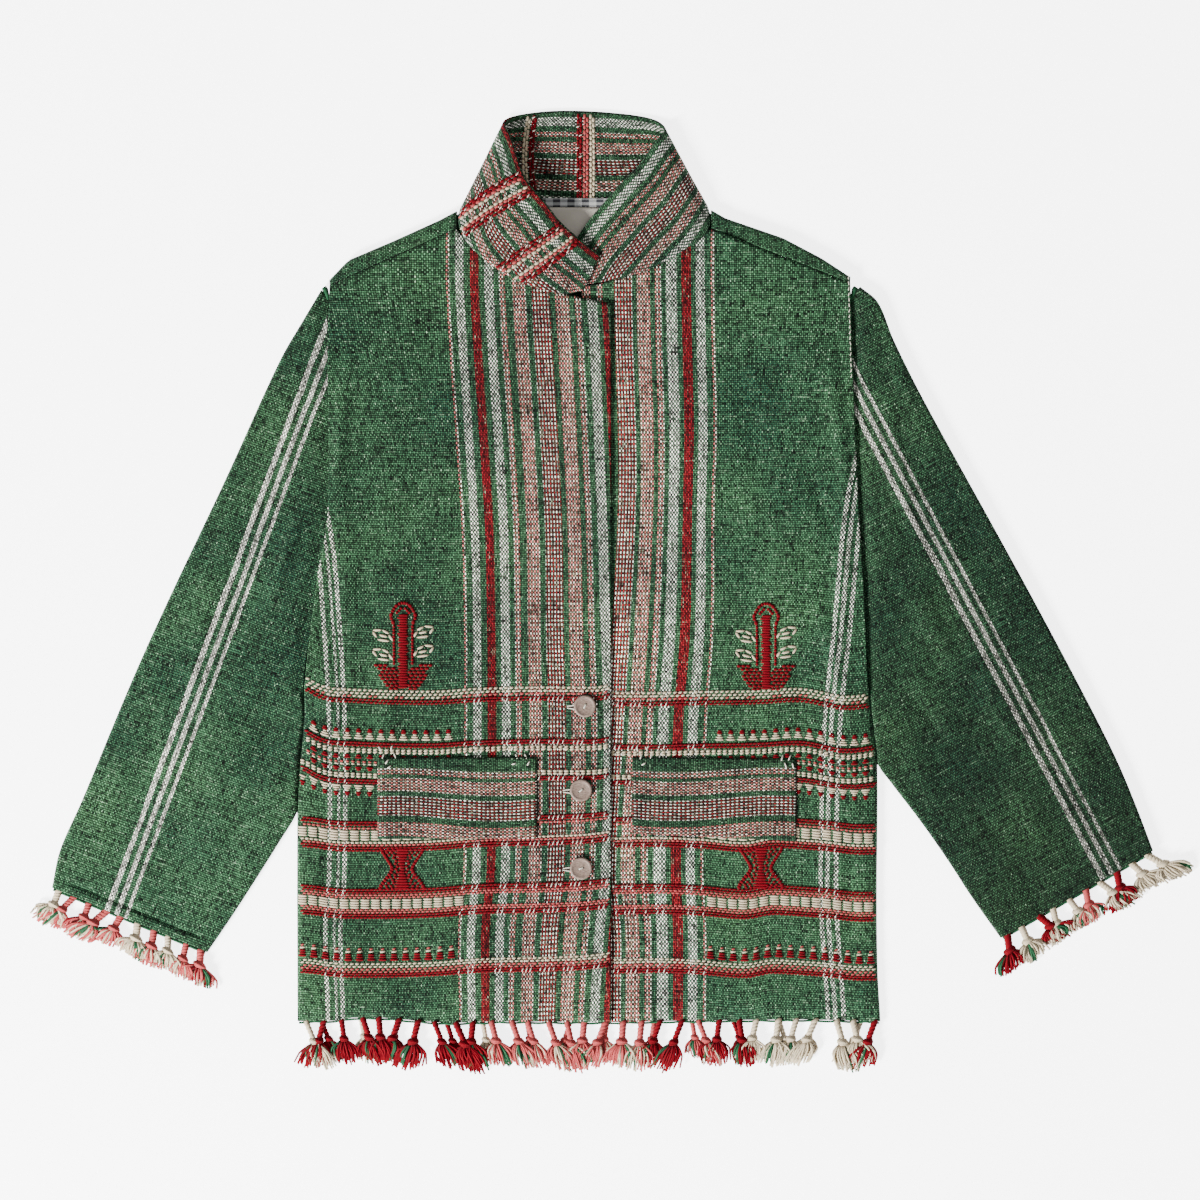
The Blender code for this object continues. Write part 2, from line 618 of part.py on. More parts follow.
def make_neck_tape():
    """A tape over the seam of back and collar, and the bare label below it."""
    for name, left, right, low, high, colour in (
        ("neck_tape", -75.0, 42.0, 347.0, 354.6, TAPE_GREY),
        ("neck_label", -51.8, -1.4, 316.0, 346.4, CREAM),
    ):
        z = (WALL + SEAM) + TAPE_WALL / 2
        grid = [[Vector((x * MM, y * MM, z)) for x in steps(left, right, 6)] for y in steps(low, high, 2)]
        cloth(name, [grid], colour, wall=TAPE_WALL)


TASSEL = table(
    "share half deep",
    (0.0, 1.6, 1.0),
    (0.70, 1.7, 1.15),
    (0.82, 3.1, 1.9),
    (1.0, TASSEL_HALF, 2.0),
)


def tassel_widths(distance, length):
    """Half the width and the depth of a tassel at a share of the way to its locks."""
    share = distance / length
    knots = [r.share for r in TASSEL]
    half = straight(knots, [r.half for r in TASSEL], share)
    return half, straight(knots, [r.deep for r in TASSEL], share)


def fringe(name, start, end, colour, places, z_low, z_high, slim=1.0, shorten=1.0, edge=None):
    """Knotted tassels on one narrow strip, which lies just off the edge of the cloth.
    The strip runs from start to end and its tassels hang to the right of that way.
    Each place is the tassel's share of the strip, its lean and its length. Edge gives
    the y of a curved hem, which the strip and its tassels then follow."""
    run = end - start
    length = run.length
    way = run / length
    out = Vector((way.y, -way.x))
    bm = bmesh.new()

    def corner(s, d, z):
        spot = start + way * s + out * d
        rise = y_at(edge, start.x + s) - HEM_LOW if edge else 0.0
        return bm.verts.new((spot.x, spot.y + rise, z))

    def quad(*corners):
        bm.faces.new(corners)

    half = 1.6 * MM * slim
    stops = [0.0]
    for place in places:
        stops += [place.share * length - half, place.share * length + half]
    stops.append(length)
    near_low = [corner(s, 0, z_low) for s in stops]
    near_high = [corner(s, 0, z_high) for s in stops]
    far_low = [corner(s, STRIP_DEPTH, z_low) for s in stops]
    far_high = [corner(s, STRIP_DEPTH, z_high) for s in stops]
    for k in range(len(stops) - 1):
        quad(near_high[k], far_high[k], far_high[k + 1], near_high[k + 1])
        quad(near_low[k + 1], far_low[k + 1], far_low[k], near_low[k])
        quad(near_low[k], near_high[k], near_high[k + 1], near_low[k + 1])
        if k % 2 == 0:
            quad(far_low[k + 1], far_high[k + 1], far_high[k], far_low[k])
    quad(near_low[0], far_low[0], far_high[0], near_high[0])
    quad(near_low[-1], near_high[-1], far_high[-1], far_low[-1])
    centre_z = (z_low + z_high) / 2
    for k, place in enumerate(places):
        a = 2 * k + 1
        size = place.length * shorten
        stem = (STEM_LENGTH + KNOT_LENGTH) * size
        middle = place.share * length

        def ring(distance, count):
            half_width, deep = tassel_widths(distance, stem)
            half_width *= slim * MM
            deep = min(deep * MM, centre_z - 0.4 * MM) if slim < 1 else deep * MM
            lean = place.lean * distance
            high_z = centre_z + deep
            low_z = max(centre_z - deep, z_low - 0.6 * MM if slim == 1.0 else z_low)
            spots = [middle + lean + half_width * (2 * i / (count - 1) - 1) for i in range(count)]
            return ([corner(s, STRIP_DEPTH + distance, low_z) for s in spots],
                    [corner(s, STRIP_DEPTH + distance, high_z) for s in spots])

        low, high = [far_low[a], far_low[a + 1]], [far_high[a], far_high[a + 1]]
        for distance in (0.5 * stem, 0.74 * stem):
            next_low, next_high = ring(distance, 2)
            quad(high[0], next_high[0], next_high[1], high[1])
            quad(low[1], next_low[1], next_low[0], low[0])
            quad(low[0], next_low[0], next_high[0], high[0])
            quad(high[1], next_high[1], next_low[1], low[1])
            low, high = next_low, next_high
        knot_low, knot_high = ring(0.86 * stem, 6)
        bm.faces.new([high[0]] + knot_high + [high[1]])
        bm.faces.new([low[1]] + knot_low[::-1] + [low[0]])
        quad(low[0], knot_low[0], knot_high[0], high[0])
        quad(high[1], knot_high[-1], knot_low[-1], low[1])
        head_low, head_high = ring(stem, 6)
        for i in range(5):
            quad(knot_high[i], head_high[i], head_high[i + 1], knot_high[i + 1])
            quad(knot_low[i + 1], head_low[i + 1], head_low[i], knot_low[i])
        quad(knot_low[0], head_low[0], head_high[0], knot_high[0])
        quad(knot_high[-1], head_high[-1], head_low[-1], knot_low[-1])
        for i in range(5):
            root = (head_low[i], head_low[i + 1], head_high[i + 1], head_high[i])
            if i % 2:
                quad(*root)
                continue
            spread = (i - 2) * 0.35 * MM * slim
            reach = LOCK_LENGTH * size * (1.0 - 0.10 * abs(i - 2))
            at = STRIP_DEPTH + stem + reach
            side = (2 * (i + 0.5) / 5 - 1) * TASSEL_HALF * MM * slim
            base = middle + place.lean * (stem + reach) + side + spread
            wide = LOCK_HALF * slim
            tip_low = max(centre_z - 1.3 * MM, z_low - 0.3 * MM if slim == 1.0 else z_low)
            tip = [corner(base - wide, at, tip_low), corner(base + wide, at, tip_low),
                   corner(base + wide, at, centre_z + 1.0 * MM * slim),
                   corner(base - wide, at, centre_z + 1.0 * MM * slim)]
            for m in range(4):
                n = (m + 1) % 4
                quad(root[m], root[n], tip[n], tip[m])
            quad(*tip)
    bmesh.ops.recalc_face_normals(bm, faces=bm.faces)
    mesh = bpy.data.meshes.new(name)
    bm.to_mesh(mesh)
    bm.free()
    return add(name, mesh, colour)


def tassel_row(count, lean, margin=0.02):
    """Evenly knotted tassels, with the small differences that hand work leaves. Lean is
    how far the first one leans along the strip, and the last ones hang straight."""
    row = table("share lean length")
    shares = steps(margin, 1 - margin, count - 1)
    for k, share in enumerate(shares):
        uneven = math.sin(2.4 * k + 0.7)
        leans = lean * (1 - share) ** 3 + 0.015 * math.sin(1.7 * k)
        row += table("share lean length", (share + 0.08 * uneven / count, leans, 1.0 + 0.05 * uneven))
    return row


def make_fringes():
    off = SEAM + 0.2 * MM
    hem_y = HEM_LOW - off
    thick = 1.5 * MM
    front_z = HEM_REST
    fringe("fringe_hem_left", Vector((-274.0 * MM, hem_y)), Vector((6.0 * MM, hem_y)), RED,
           tassel_row(17, 0.0), front_z, front_z + thick, edge=HEM)
    fringe("fringe_hem_right", Vector((12.0 * MM, hem_y)), Vector((248.0 * MM, hem_y)), CREAM,
           tassel_row(14, 0.0), front_z, front_z + thick, edge=HEM)
    fringe("fringe_hem_back", Vector((-266.0 * MM, hem_y)), Vector((240.0 * MM, hem_y)), CREAM,
           tassel_row(14, 0.02), 0.4 * MM, 1.6 * MM, slim=0.6, shorten=0.86, edge=HEM)
    for name, outer, inner, flip, lean, colour in (
        ("fringe_cuff_left", LEFT_SLEEVE_OUTER, LEFT_SLEEVE_INNER, False, -0.24, PINK),
        ("fringe_cuff_right", RIGHT_SLEEVE_OUTER, RIGHT_SLEEVE_INNER, True, -0.20, CREAM),
    ):
        a = along(outer, 1.0)
        b = along(inner, 1.0)
        way = (b - a).normalized()
        out = Vector((way.y, -way.x)) if not flip else Vector((-way.y, way.x))
        a = a + way * 2.0 * MM + out * off
        b = b - way * 2.0 * MM + out * off
        tassels = tassel_row(10, lean, 0.03)
        if flip:
            a, b = b, a
            tassels = [t._replace(share=1 - t.share, lean=-t.lean) for t in reversed(tassels)]
        fringe(name, a, b, colour, tassels, 2.0 * MM, 3.6 * MM, shorten=0.86)


def main():
    for old in list(bpy.data.objects):
        bpy.data.objects.remove(old, do_unlink=True)
    make_back()
    make_fronts()
    make_sleeves()
    make_collar()
    make_flaps()
    for row in BUTTONS:
        make_button(row.name, row.x, row.y, row.turn)
    make_neck_tape()
    make_fringes()


main()
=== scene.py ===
# %% [markdown]
# # A handwoven wool jacket, laid flat
#
# The imported model gives every piece its place: a back, two fronts, two sleeves, a collar,
# two pocket flaps, three buttons, a neck tape with its label, and five fringes. Here each
# of them gets the form and the finish that show from a step away. The cloth could be
# simulated, but a jacket that lies on a table hardly drapes, so its soft hollows are
# placed one by one. Left and right are the viewer's.

# %% Load the frame
import math
import random
from collections import namedtuple

import bmesh
import bpy
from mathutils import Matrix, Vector, noise


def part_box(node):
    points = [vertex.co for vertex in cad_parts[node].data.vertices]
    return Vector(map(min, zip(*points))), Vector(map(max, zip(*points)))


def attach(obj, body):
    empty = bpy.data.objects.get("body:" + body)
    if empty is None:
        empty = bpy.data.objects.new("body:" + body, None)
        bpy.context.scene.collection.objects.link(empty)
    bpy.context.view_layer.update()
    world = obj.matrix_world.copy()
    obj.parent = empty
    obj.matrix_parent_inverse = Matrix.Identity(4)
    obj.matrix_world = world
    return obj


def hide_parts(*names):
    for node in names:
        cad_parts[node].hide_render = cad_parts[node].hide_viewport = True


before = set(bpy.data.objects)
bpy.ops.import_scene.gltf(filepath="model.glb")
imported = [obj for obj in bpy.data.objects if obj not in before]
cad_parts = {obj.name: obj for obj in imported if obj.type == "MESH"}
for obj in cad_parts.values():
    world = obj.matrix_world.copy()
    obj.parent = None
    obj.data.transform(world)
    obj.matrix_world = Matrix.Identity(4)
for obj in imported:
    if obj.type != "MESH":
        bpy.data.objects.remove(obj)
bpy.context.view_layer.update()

# %% [markdown]
# ## Camera
#
# The jacket was seen from straight above. A long lens far away keeps everything at one
# scale: 1.08 m of table fills the square picture.

# %% Camera
MM = 0.001
VIEW_WIDTH = 1.08
CAMERA_HEIGHT = 6.0
camera = bpy.data.objects.new("camera", bpy.data.cameras.new("camera"))
bpy.context.collection.objects.link(camera)
camera.location = (-3.15 * MM, -6.75 * MM, CAMERA_HEIGHT)
camera.data.lens = camera.data.sensor_width * CAMERA_HEIGHT / VIEW_WIDTH
camera.data.clip_end = 60.0
bpy.context.scene.camera = camera
print("lens", round(camera.data.lens, 1))

# %% [markdown]
# ## Writing a material as sums
#
# A woven cloth is periodic, so its material is arithmetic on two lengths: across the warp
# and along it. Wiring dozens of Math nodes by hand hides the sum, so a small class wraps a
# socket and lets Python's operators add the nodes.


# %% The class that writes nodes
class Wire:
    """One socket of a material's graph; a sum written on it becomes nodes."""

    def __init__(self, tree, socket=None):
        self.tree = tree
        self.socket = socket

    def node(self, kind, settings=None, sockets=None, out=0):
        """Any node: its type, its settings, the values or wires of its sockets."""
        made = self.tree.nodes.new("ShaderNode" + kind)
        for name, value in (settings or {}).items():
            if name == "stops":
                made.color_ramp.interpolation = "CONSTANT"
                ramp = made.color_ramp.elements
                while len(ramp) < len(value):
                    ramp.new(1.0)
                for stop, (position, colour) in zip(ramp, value):
                    stop.position = position
                    stop.color = colour
            else:
                setattr(made, name, value)
        for name, value in (sockets or {}).items():
            if isinstance(value, Wire):
                self.tree.links.new(value.socket, made.inputs[name])
            else:
                made.inputs[name].default_value = value
        return Wire(self.tree, made.outputs[out])

    def math(self, operation, *others):
        return self.node("Math", {"operation": operation}, dict(enumerate((self,) + others)))

    def __add__(self, other):
        return self.math("ADD", other)

    def __sub__(self, other):
        return self.math("SUBTRACT", other)

    def __rsub__(self, other):
        return self.node("Math", {"operation": "SUBTRACT"}, {0: other, 1: self})

    def __mul__(self, other):
        return self.math("MULTIPLY", other)

    def __truediv__(self, other):
        return self.math("DIVIDE", other)

    def __pow__(self, other):
        return self.math("POWER", other)

    __radd__ = __add__
    __rmul__ = __mul__

    def floor(self):
        return self.math("FLOOR")

    def fraction(self):
        return self.math("FRACT")

    def size(self):
        return self.math("ABSOLUTE")

    def cosine(self):
        return self.math("COSINE")

    def clamped(self, low=0.0, high=1.0):
        return self.math("MAXIMUM", low).math("MINIMUM", high)

    def blend(self, first, second):
        """The colour between two colours that this share picks."""
        return self.node("Mix", {"data_type": "RGBA"}, {0: self, 6: first, 7: second}, out=2)

    def tinted(self, share):
        """This colour, darker or lighter by a share."""
        grey = share.node("CombineColor", {}, {0: share, 1: share, 2: share})
        return self.node("Mix", {"data_type": "RGBA", "blend_type": "MULTIPLY", "clamp_factor": True},
                         {0: 1.0, 6: self, 7: grey}, out=2)

    def cloud(self, scale, detail=2.0):
        """Noise on this vector."""
        return self.node("TexNoise", {}, {"Vector": self, "Scale": scale, "Detail": detail})

    def stretched(self, x, y, z=1.0):
        """This vector, with its parts scaled."""
        return self.node("VectorMath", {"operation": "MULTIPLY"}, {0: self, 1: (x, y, z)})


# %% Starting and ending a material
def new_finish(name, roughness=0.9, sheen=0.0, specular=0.5):
    """An empty material: its shader, and a wire to start sums from."""
    made = bpy.data.materials.new(name)
    made.use_nodes = True
    shader = made.node_tree.nodes["Principled BSDF"]
    shader.inputs["Roughness"].default_value = roughness
    shader.inputs["Sheen Weight"].default_value = sheen
    shader.inputs["Sheen Roughness"].default_value = 0.5
    shader.inputs["Specular IOR Level"].default_value = specular
    return made, shader, Wire(made.node_tree)


def finish_with(shader, wire, colour, height, strength=0.6, depth=0.4 * MM):
    """Put the colour and a bump of the height on the shader."""
    bump = wire.node("Bump", {}, {"Strength": strength, "Distance": depth, "Height": height})
    wire.tree.links.new(colour.socket, shader.inputs["Base Color"])
    wire.tree.links.new(bump.socket, shader.inputs["Normal"])


def cloth_places(start):
    """The place on the map "cloth", and its lengths across and along, in metres."""
    place = start.node("UVMap", {"uv_map": "cloth"})
    across = place.node("SeparateXYZ", {}, {0: place}, out=0)
    return place, across, Wire(start.tree, across.socket.node.outputs[1])


# %% [markdown]
# ## Yarns
#
# The yarns are dull wool: a deep green ground, madder red, salmon pink and undyed cream.
# Their colours are linear values, a little uneven along each thread.

# %% Colours of the yarns
GREEN = (0.040, 0.108, 0.050, 1.0)
BRICK = (0.19, 0.005, 0.010, 1.0)
PINK = (0.62, 0.15, 0.14, 1.0)
CREAM = (0.82, 0.70, 0.60, 1.0)
CHALK = (0.82, 0.80, 0.70, 1.0)
WEFT_DEEP = (0.014, 0.066, 0.040, 1.0)
WEFT_LIGHT = (0.050, 0.125, 0.050, 1.0)
PALE_FIBRE = (0.20, 0.31, 0.19, 1.0)
WARP_PITCH = 1.40 * MM
WEFT_PITCH = 2.0 * MM

# Each kind of stripe: its even and odd warp yarns, and how much of the weft they cover
KINDS = {
    "green": (GREEN, GREEN, 0.0),
    "white": (CHALK, CHALK, 0.05),
    "bright": (CHALK, CHALK, 0.42),
    "fine pink": (CHALK, PINK, 0.10),
    "pink": (CREAM, PINK, 0.15),
    "net": (CHALK, BRICK, 0.40),
    "red": (BRICK, BRICK, 0.85),
}
print("kinds of stripe", len(KINDS))

# %% [markdown]
# ## The woven ground
#
# The cloth is a plain weave with thick warp threads, 1.4 mm apart, over thinner weft
# picks, 2 mm apart. A warp thread shows as a bead wherever it rises, on every second
# pick, and its neighbour rises on the picks between. So one cosine along the cloth, whose
# sign turns with each thread's number, says which yarn is on top. Stripes come from two
# colour ramps across the cloth, one for even threads and one for odd ones, and the ramp's
# alpha says how much the warp hides the weft. An image of a weave would be quicker, but
# sums stay sharp at any size.
#
# Handspun wool is uneven, so noise that is stretched along a yarn makes it thicker, paler
# or darker in places, and each crossing has a tone of its own.


# %% The weave
def stripe_ramps(stripes, low, high):
    """The stops of the even and the odd ramp, from rows of start, end and kind."""
    even, odd = [], []
    rows = [(low, "green")]
    for start, end, kind in stripes:
        rows += [(start, kind), (end, "green")]
    for at, kind in rows:
        first, second, cover = KINDS[kind]
        position = (at * MM - low * MM) / ((high - low) * MM)
        even.append((position, (*first[:3], cover)))
        odd.append((position, (*second[:3], cover)))
    return even, odd


def woven(name, stripes, low, high, tone_and_painted_light=1.0, fade=0.0):
    """The material of a striped piece; its map "cloth" holds metres across and along.

    ground makes the whole piece lighter or darker, for its own tone and for painted light
    and shade; fade paints shade by a share over the half metre down from the map's zero,
    or lightens the piece where it is below zero.
    """
    made, shader, start = new_finish(name, roughness=0.95, sheen=0.03, specular=0.09)
    place, across, along = cloth_places(start)
    # Which yarn lies on top
    waver = place.cloud(90.0, 2.0) - 0.5
    thread_at = across / WARP_PITCH + waver * 0.9
    pick_at = along / WEFT_PITCH + (place.stretched(0.35, 1.0).cloud(60.0, 2.0) - 0.5) * 1.6
    thread = thread_at.floor()
    side = ((thread_at.fraction() - 0.5).size()) * 2.0
    wave = ((pick_at + thread) * math.pi).cosine()
    pick = (pick_at + 0.5).floor()
    weft_side = ((pick_at + 0.5).fraction() - 0.5).size() * 2.0
    # What colour the warp has there, and how much of the weft it covers
    even, odd = stripe_ramps(stripes, low, high)
    spot = (across - low * MM) / ((high - low) * MM)
    even_colour = spot.node("ValToRGB", {"stops": even}, {0: spot})
    cover = Wire(start.tree, even_colour.socket.node.outputs[1])
    odd_colour = spot.node("ValToRGB", {"stops": odd}, {0: spot})
    is_odd = (thread / 2.0).fraction() * 2.0
    warp_colour = is_odd.blend(even_colour, odd_colour)
    up = ((wave + cover) * 4.0).clamped()
    warp_round = (1.0 - side ** 2.0) ** 1.4
    weft_round = 1.0 - weft_side ** 2.0
    height = up * (warp_round * (0.65 + wave * 0.35)) + (1.0 - up) * weft_round * 0.62
    # How uneven the yarns are
    thread_tone = thread.node("TexWhiteNoise", {"noise_dimensions": "1D"}, {"W": thread})
    pick_tone = pick.node("TexWhiteNoise", {"noise_dimensions": "1D"}, {"W": pick})
    weft_slub = place.stretched(26.0, 420.0).cloud(1.0, 3.0)
    warp_slub = place.stretched(620.0, 22.0).cloud(1.0, 3.0)
    light_slub = (place.stretched(70.0, 520.0).cloud(1.0, 1.0) - 0.61).clamped() * 9.0
    light_end = (place.stretched(720.0, 80.0).cloud(1.0, 1.0) - 0.62).clamped() * 8.0
    fleck = place.node("TexWhiteNoise", {"noise_dimensions": "2D"},
                       {"Vector": place.node("CombineXYZ", {}, {0: thread, 1: pick})})
    grain = place.cloud(380.0, 1.0) - 0.5
    patch = place.cloud(9.0, 4.0)
    shade = ((patch - 0.5) * 2.6 + 0.5).clamped()
    # The colours of both yarns, and the pale fibres on them
    weft_colour = shade.blend(WEFT_DEEP, WEFT_LIGHT)
    weft_colour = weft_colour.tinted(0.75 + pick_tone * 0.22 + (weft_slub - 0.5) * 1.7)
    weft_colour = (cover * 1.1).blend(weft_colour, odd_colour.tinted(0.45 + fleck * 0.2))
    warp_tone = 0.72 + thread_tone * 0.20 + (warp_slub - 0.5) * 1.0 + (shade - 0.5) * 0.35
    warp_colour = warp_colour.tinted(warp_tone)
    cloth = up.blend(weft_colour, warp_colour)
    pale = (light_slub * (1.0 - up) + light_end * up).clamped(0.0, 0.9) * (fleck * 0.7 + 0.3)
    cloth = pale.blend(cloth, PALE_FIBRE)
    # Painted shade: the hollows between the yarns are darkened and their round tops lit, and the tops
    # also differ in tone at random
    streaks = place.stretched(40.0, 420.0).cloud(1.0, 2.0)
    streaks = streaks + place.stretched(520.0, 34.0).cloud(1.0, 2.0) - 1.0
    uneven = (0.26 + fleck * 1.45 + grain * 0.7 + streaks * 1.5).clamped(0.03, 2.8)
    light = (height * 1.15).clamped() ** 1.9 * uneven
    light = light * (0.84 + shade * 0.32)
    # Painted light and shade: the whole piece made lighter or darker, and a painted gradient down a
    # sleeve
    light = light * ((1.0 - (along * -2.0).clamped() * fade) * tone_and_painted_light)
    fibre = place.cloud(2600.0, 2.0)
    cloth = cloth.tinted(0.01 + light * 1.24 + (fibre - 0.5) * 0.24)
    finish_with(shader, start, cloth, height + (fibre - 0.5) * 0.35, strength=0.8, depth=0.6 * MM)
    return made


# %% Tables with named columns
def table(columns, *rows):
    """A short table, whose rows are read by the names of their columns."""
    row_type = namedtuple("Row", columns)
    return [row_type(*row) for row in rows]


# %% [markdown]
# ## Stripes of the warp
#
# The fronts are cut so that the loom's central stripes meet at the closure. Each row gives
# where a stripe starts and ends, in millimetres from the middle, at chest height.

# %% Stripes of the fronts and the back
LEFT_STRIPES = table(
    "start end kind",
    (-255.2, -251.6, "white"), (-247.1, -243.5, "white"), (-240.8, -237.2, "white"),
    (-128.4, -125.4, "fine pink"), (-120.2, -112.1, "white"), (-107.8, -99.2, "red"),
    (-95.0, -86.9, "white"), (-81.5, -75.8, "fine pink"), (-69.8, -58.8, "pink"),
    (-53.6, -37.4, "net"), (-32.0, -21.0, "pink"), (-15.8, -10.2, "fine pink"),
    (-5.0, 3.2, "white"), (7.2, 12.0, "red"),
)
RIGHT_STRIPES = table(
    "start end kind",
    (-30.0, -24.0, "red"), (-21.2, -8.6, "pink"), (-3.0, 2.0, "fine pink"),
    (12.2, 28.4, "net"), (32.6, 43.7, "pink"), (48.2, 53.9, "fine pink"), (58.1, 66.6, "white"),
    (70.4, 79.0, "red"), (82.4, 91.0, "white"), (95.6, 98.8, "fine pink"),
    (209.9, 213.8, "white"), (217.2, 221.1, "white"), (224.4, 228.3, "white"),
)
BACK_STRIPES = table(
    "start end kind",
    (-250.0, -246.2, "white"), (-242.8, -239.0, "white"), (-235.6, -231.8, "white"),
    (-104.0, -96.0, "white"), (-91.0, -83.0, "red"), (-78.0, -70.0, "white"), (-17.0, -6.0, "pink"),
    (44.0, 52.0, "white"), (57.0, 65.0, "red"), (70.0, 78.0, "white"),
    (205.8, 209.6, "white"), (213.0, 216.8, "white"), (220.2, 224.0, "white"),
)

# %% Stripes of the smaller pieces
SLEEVE_STRIPES = table(
    "start end kind",
    (-10.5, -6.3, "bright"), (-1.9, 2.4, "bright"), (6.9, 11.1, "bright"),
)
COLLAR_STRIPES = table(
    "start end kind",
    (1.2, 6.0, "red"), (12.4, 20.6, "white"), (25.8, 30.6, "fine pink"), (35.4, 45.6, "pink"),
    (50.6, 65.0, "net"), (69.6, 79.4, "pink"), (84.6, 92.6, "white"),
)
FLAP_STRIPES = table(
    "start end kind",
    (10.6, 16.6, "fine pink"), (20.2, 31.8, "pink"), (36.2, 54.2, "net"), (60.2, 73.2, "pink"),
)

# %% The woven finishes
WOOL = {
    "front_left": woven("wool_front_left", LEFT_STRIPES, -300.0, 30.0),
    # The right front is painted lighter: painted light on that side of the jacket
    "front_right": woven("wool_front_right", RIGHT_STRIPES, -40.0, 300.0, tone_and_painted_light=1.24),
    "back": woven("wool_back", BACK_STRIPES, -300.0, 300.0),
    # The right sleeve has painted shade, darker overall and darker towards the cuff; the left sleeve is
    # made lighter towards the cuff
    "sleeve": woven("wool_sleeve", SLEEVE_STRIPES, -200.0, 200.0, tone_and_painted_light=0.93, fade=-0.26),
    "sleeve_right": woven("wool_sleeve_right", SLEEVE_STRIPES, -200.0, 200.0, tone_and_painted_light=0.80, fade=0.42),
    "collar": woven("wool_collar", COLLAR_STRIPES, -10.0, 110.0, tone_and_painted_light=0.85),
    "flap": woven("wool_flap", FLAP_STRIPES, -5.0, 90.0, tone_and_painted_light=0.75),
}
print("woven finishes", len(WOOL))

# %% [markdown]
# ## Sizes of the garment
#
# These are the sizes that the solids were cut to, in millimetres: the edges of body,
# neck, sleeves and collar, and how high each piece lies on the ones below it. A name with
# REST is the height of a piece's lower side above the table.

# %% Heights and widths
WALL = 1.8 * MM
FRONT_REST = 5.6 * MM
UNDERLAP_REST = 5.1 * MM
PLACKET_LIFT = 1.9 * MM
ARMHOLE_REST = 5.8 * MM
SIDE_REST = 2.2 * MM
HEM_REST = 3.0 * MM
ROLL = 13.0 * MM
PLACKET_EDGE_X = 6.8 * MM
UNDERLAP_EDGE_X = -19.4 * MM
FOLD_RADIUS = 2.8 * MM
SLEEVE_TOP = 6.2 * MM
SLEEVE_TUCK = 8.0 * MM
SLEEVE_TUCK_Z = 4.2 * MM
ARMHOLE_GAP = 0.9 * MM
SLEEVE_RISE = 14.0 * MM
SLEEVE_HEAD_Y = 266.0 * MM
UNDERARM_Y = -96.8 * MM
HEM_LOW = -387.4 * MM
print("wall, mm", round(WALL / MM, 1))

# %% Edges of the body
LEFT_SIDE = table("x y", (-246.2, 278.6), (-248.0, 227.0), (-248.0, 71.5), (-257.9, 11.0),
                  (-268.7, -81.5), (-268.5, -110.0), (-272.2, -151.0), (-274.9, -199.0),
                  (-274.9, -385.7))
RIGHT_SIDE = table("x y", (221.8, 282.0), (224.6, 191.0), (229.1, 83.0), (234.5, -7.0),
                   (238.1, -88.0), (242.6, -128.0), (245.8, -155.0), (245.4, -277.0),
                   (246.2, -340.0), (248.8, -385.7))
HEM = table("x y", (-274.9, -385.5), (-240.8, -384.8), (-225.5, -382.3), (-201.2, -382.1),
            (-165.2, -385.5), (-140.0, -387.2), (-93.0, -385.7), (7.7, -386.4),
            (87.0, -384.8), (177.0, -383.9), (248.8, -385.7))
LEFT_FOLD = table("x y", (-246.2, 280.6), (-229.0, 298.4), (-186.8, 316.4), (-147.2, 334.4),
                  (-131.8, 342.5))
LEFT_SEAM = table("x y", (-246.2, 276.2), (-131.8, 327.2))
RIGHT_FOLD = table("x y", (96.8, 343.5), (109.4, 336.2), (161.6, 318.2), (195.8, 300.2),
                   (221.8, 283.2))
RIGHT_SEAM = table("x y", (96.8, 327.2), (221.8, 278.2))
LEFT_NECK = table("x y", (-131.8, 327.2), (-123.8, 317.2), (-111.2, 303.8), (-86.9, 290.2),
                  (-68.0, 281.2), (-39.1, 270.6), (-23.9, 265.9), (6.8, 259.7))
RIGHT_NECK = table("x y", (-19.4, 274.9), (-3.1, 277.7), (14.8, 283.1), (37.4, 290.2),
                   (58.1, 300.2), (86.9, 319.1), (96.8, 327.2))
BACK_NECK = table("x y", (-131.8, 342.5), (-118.0, 345.0), (-106.0, 347.4), (71.0, 347.4),
                  (83.0, 345.0), (96.8, 343.5))

# %% Edges of the sleeves
LEFT_SLEEVE_OUTER = table("x y", (-254.2, 272.4), (-270.4, 245.2), (-291.2, 209.2),
                          (-340.7, 101.2), (-391.9, -6.8), (-424.4, -78.8), (-469.4, -186.8),
                          (-489.2, -231.8), (-496.4, -265.1))
LEFT_SLEEVE_INNER = table("x y", (-275.9, -198.5), (-290.2, -222.8), (-312.8, -258.8),
                          (-334.4, -292.1), (-355.9, -323.6))
RIGHT_SLEEVE_OUTER = table("x y", (231.0, 275.4), (247.1, 261.4), (261.4, 227.2),
                           (288.4, 173.2), (347.9, 65.2), (387.4, -6.8), (435.2, -96.8),
                           (462.2, -150.8), (479.2, -191.2), (494.6, -231.8))
RIGHT_SLEEVE_INNER = table("x y", (246.9, -155.0), (258.8, -172.0), (283.9, -204.8),
                           (309.2, -240.8), (330.8, -274.1), (356.9, -310.9))

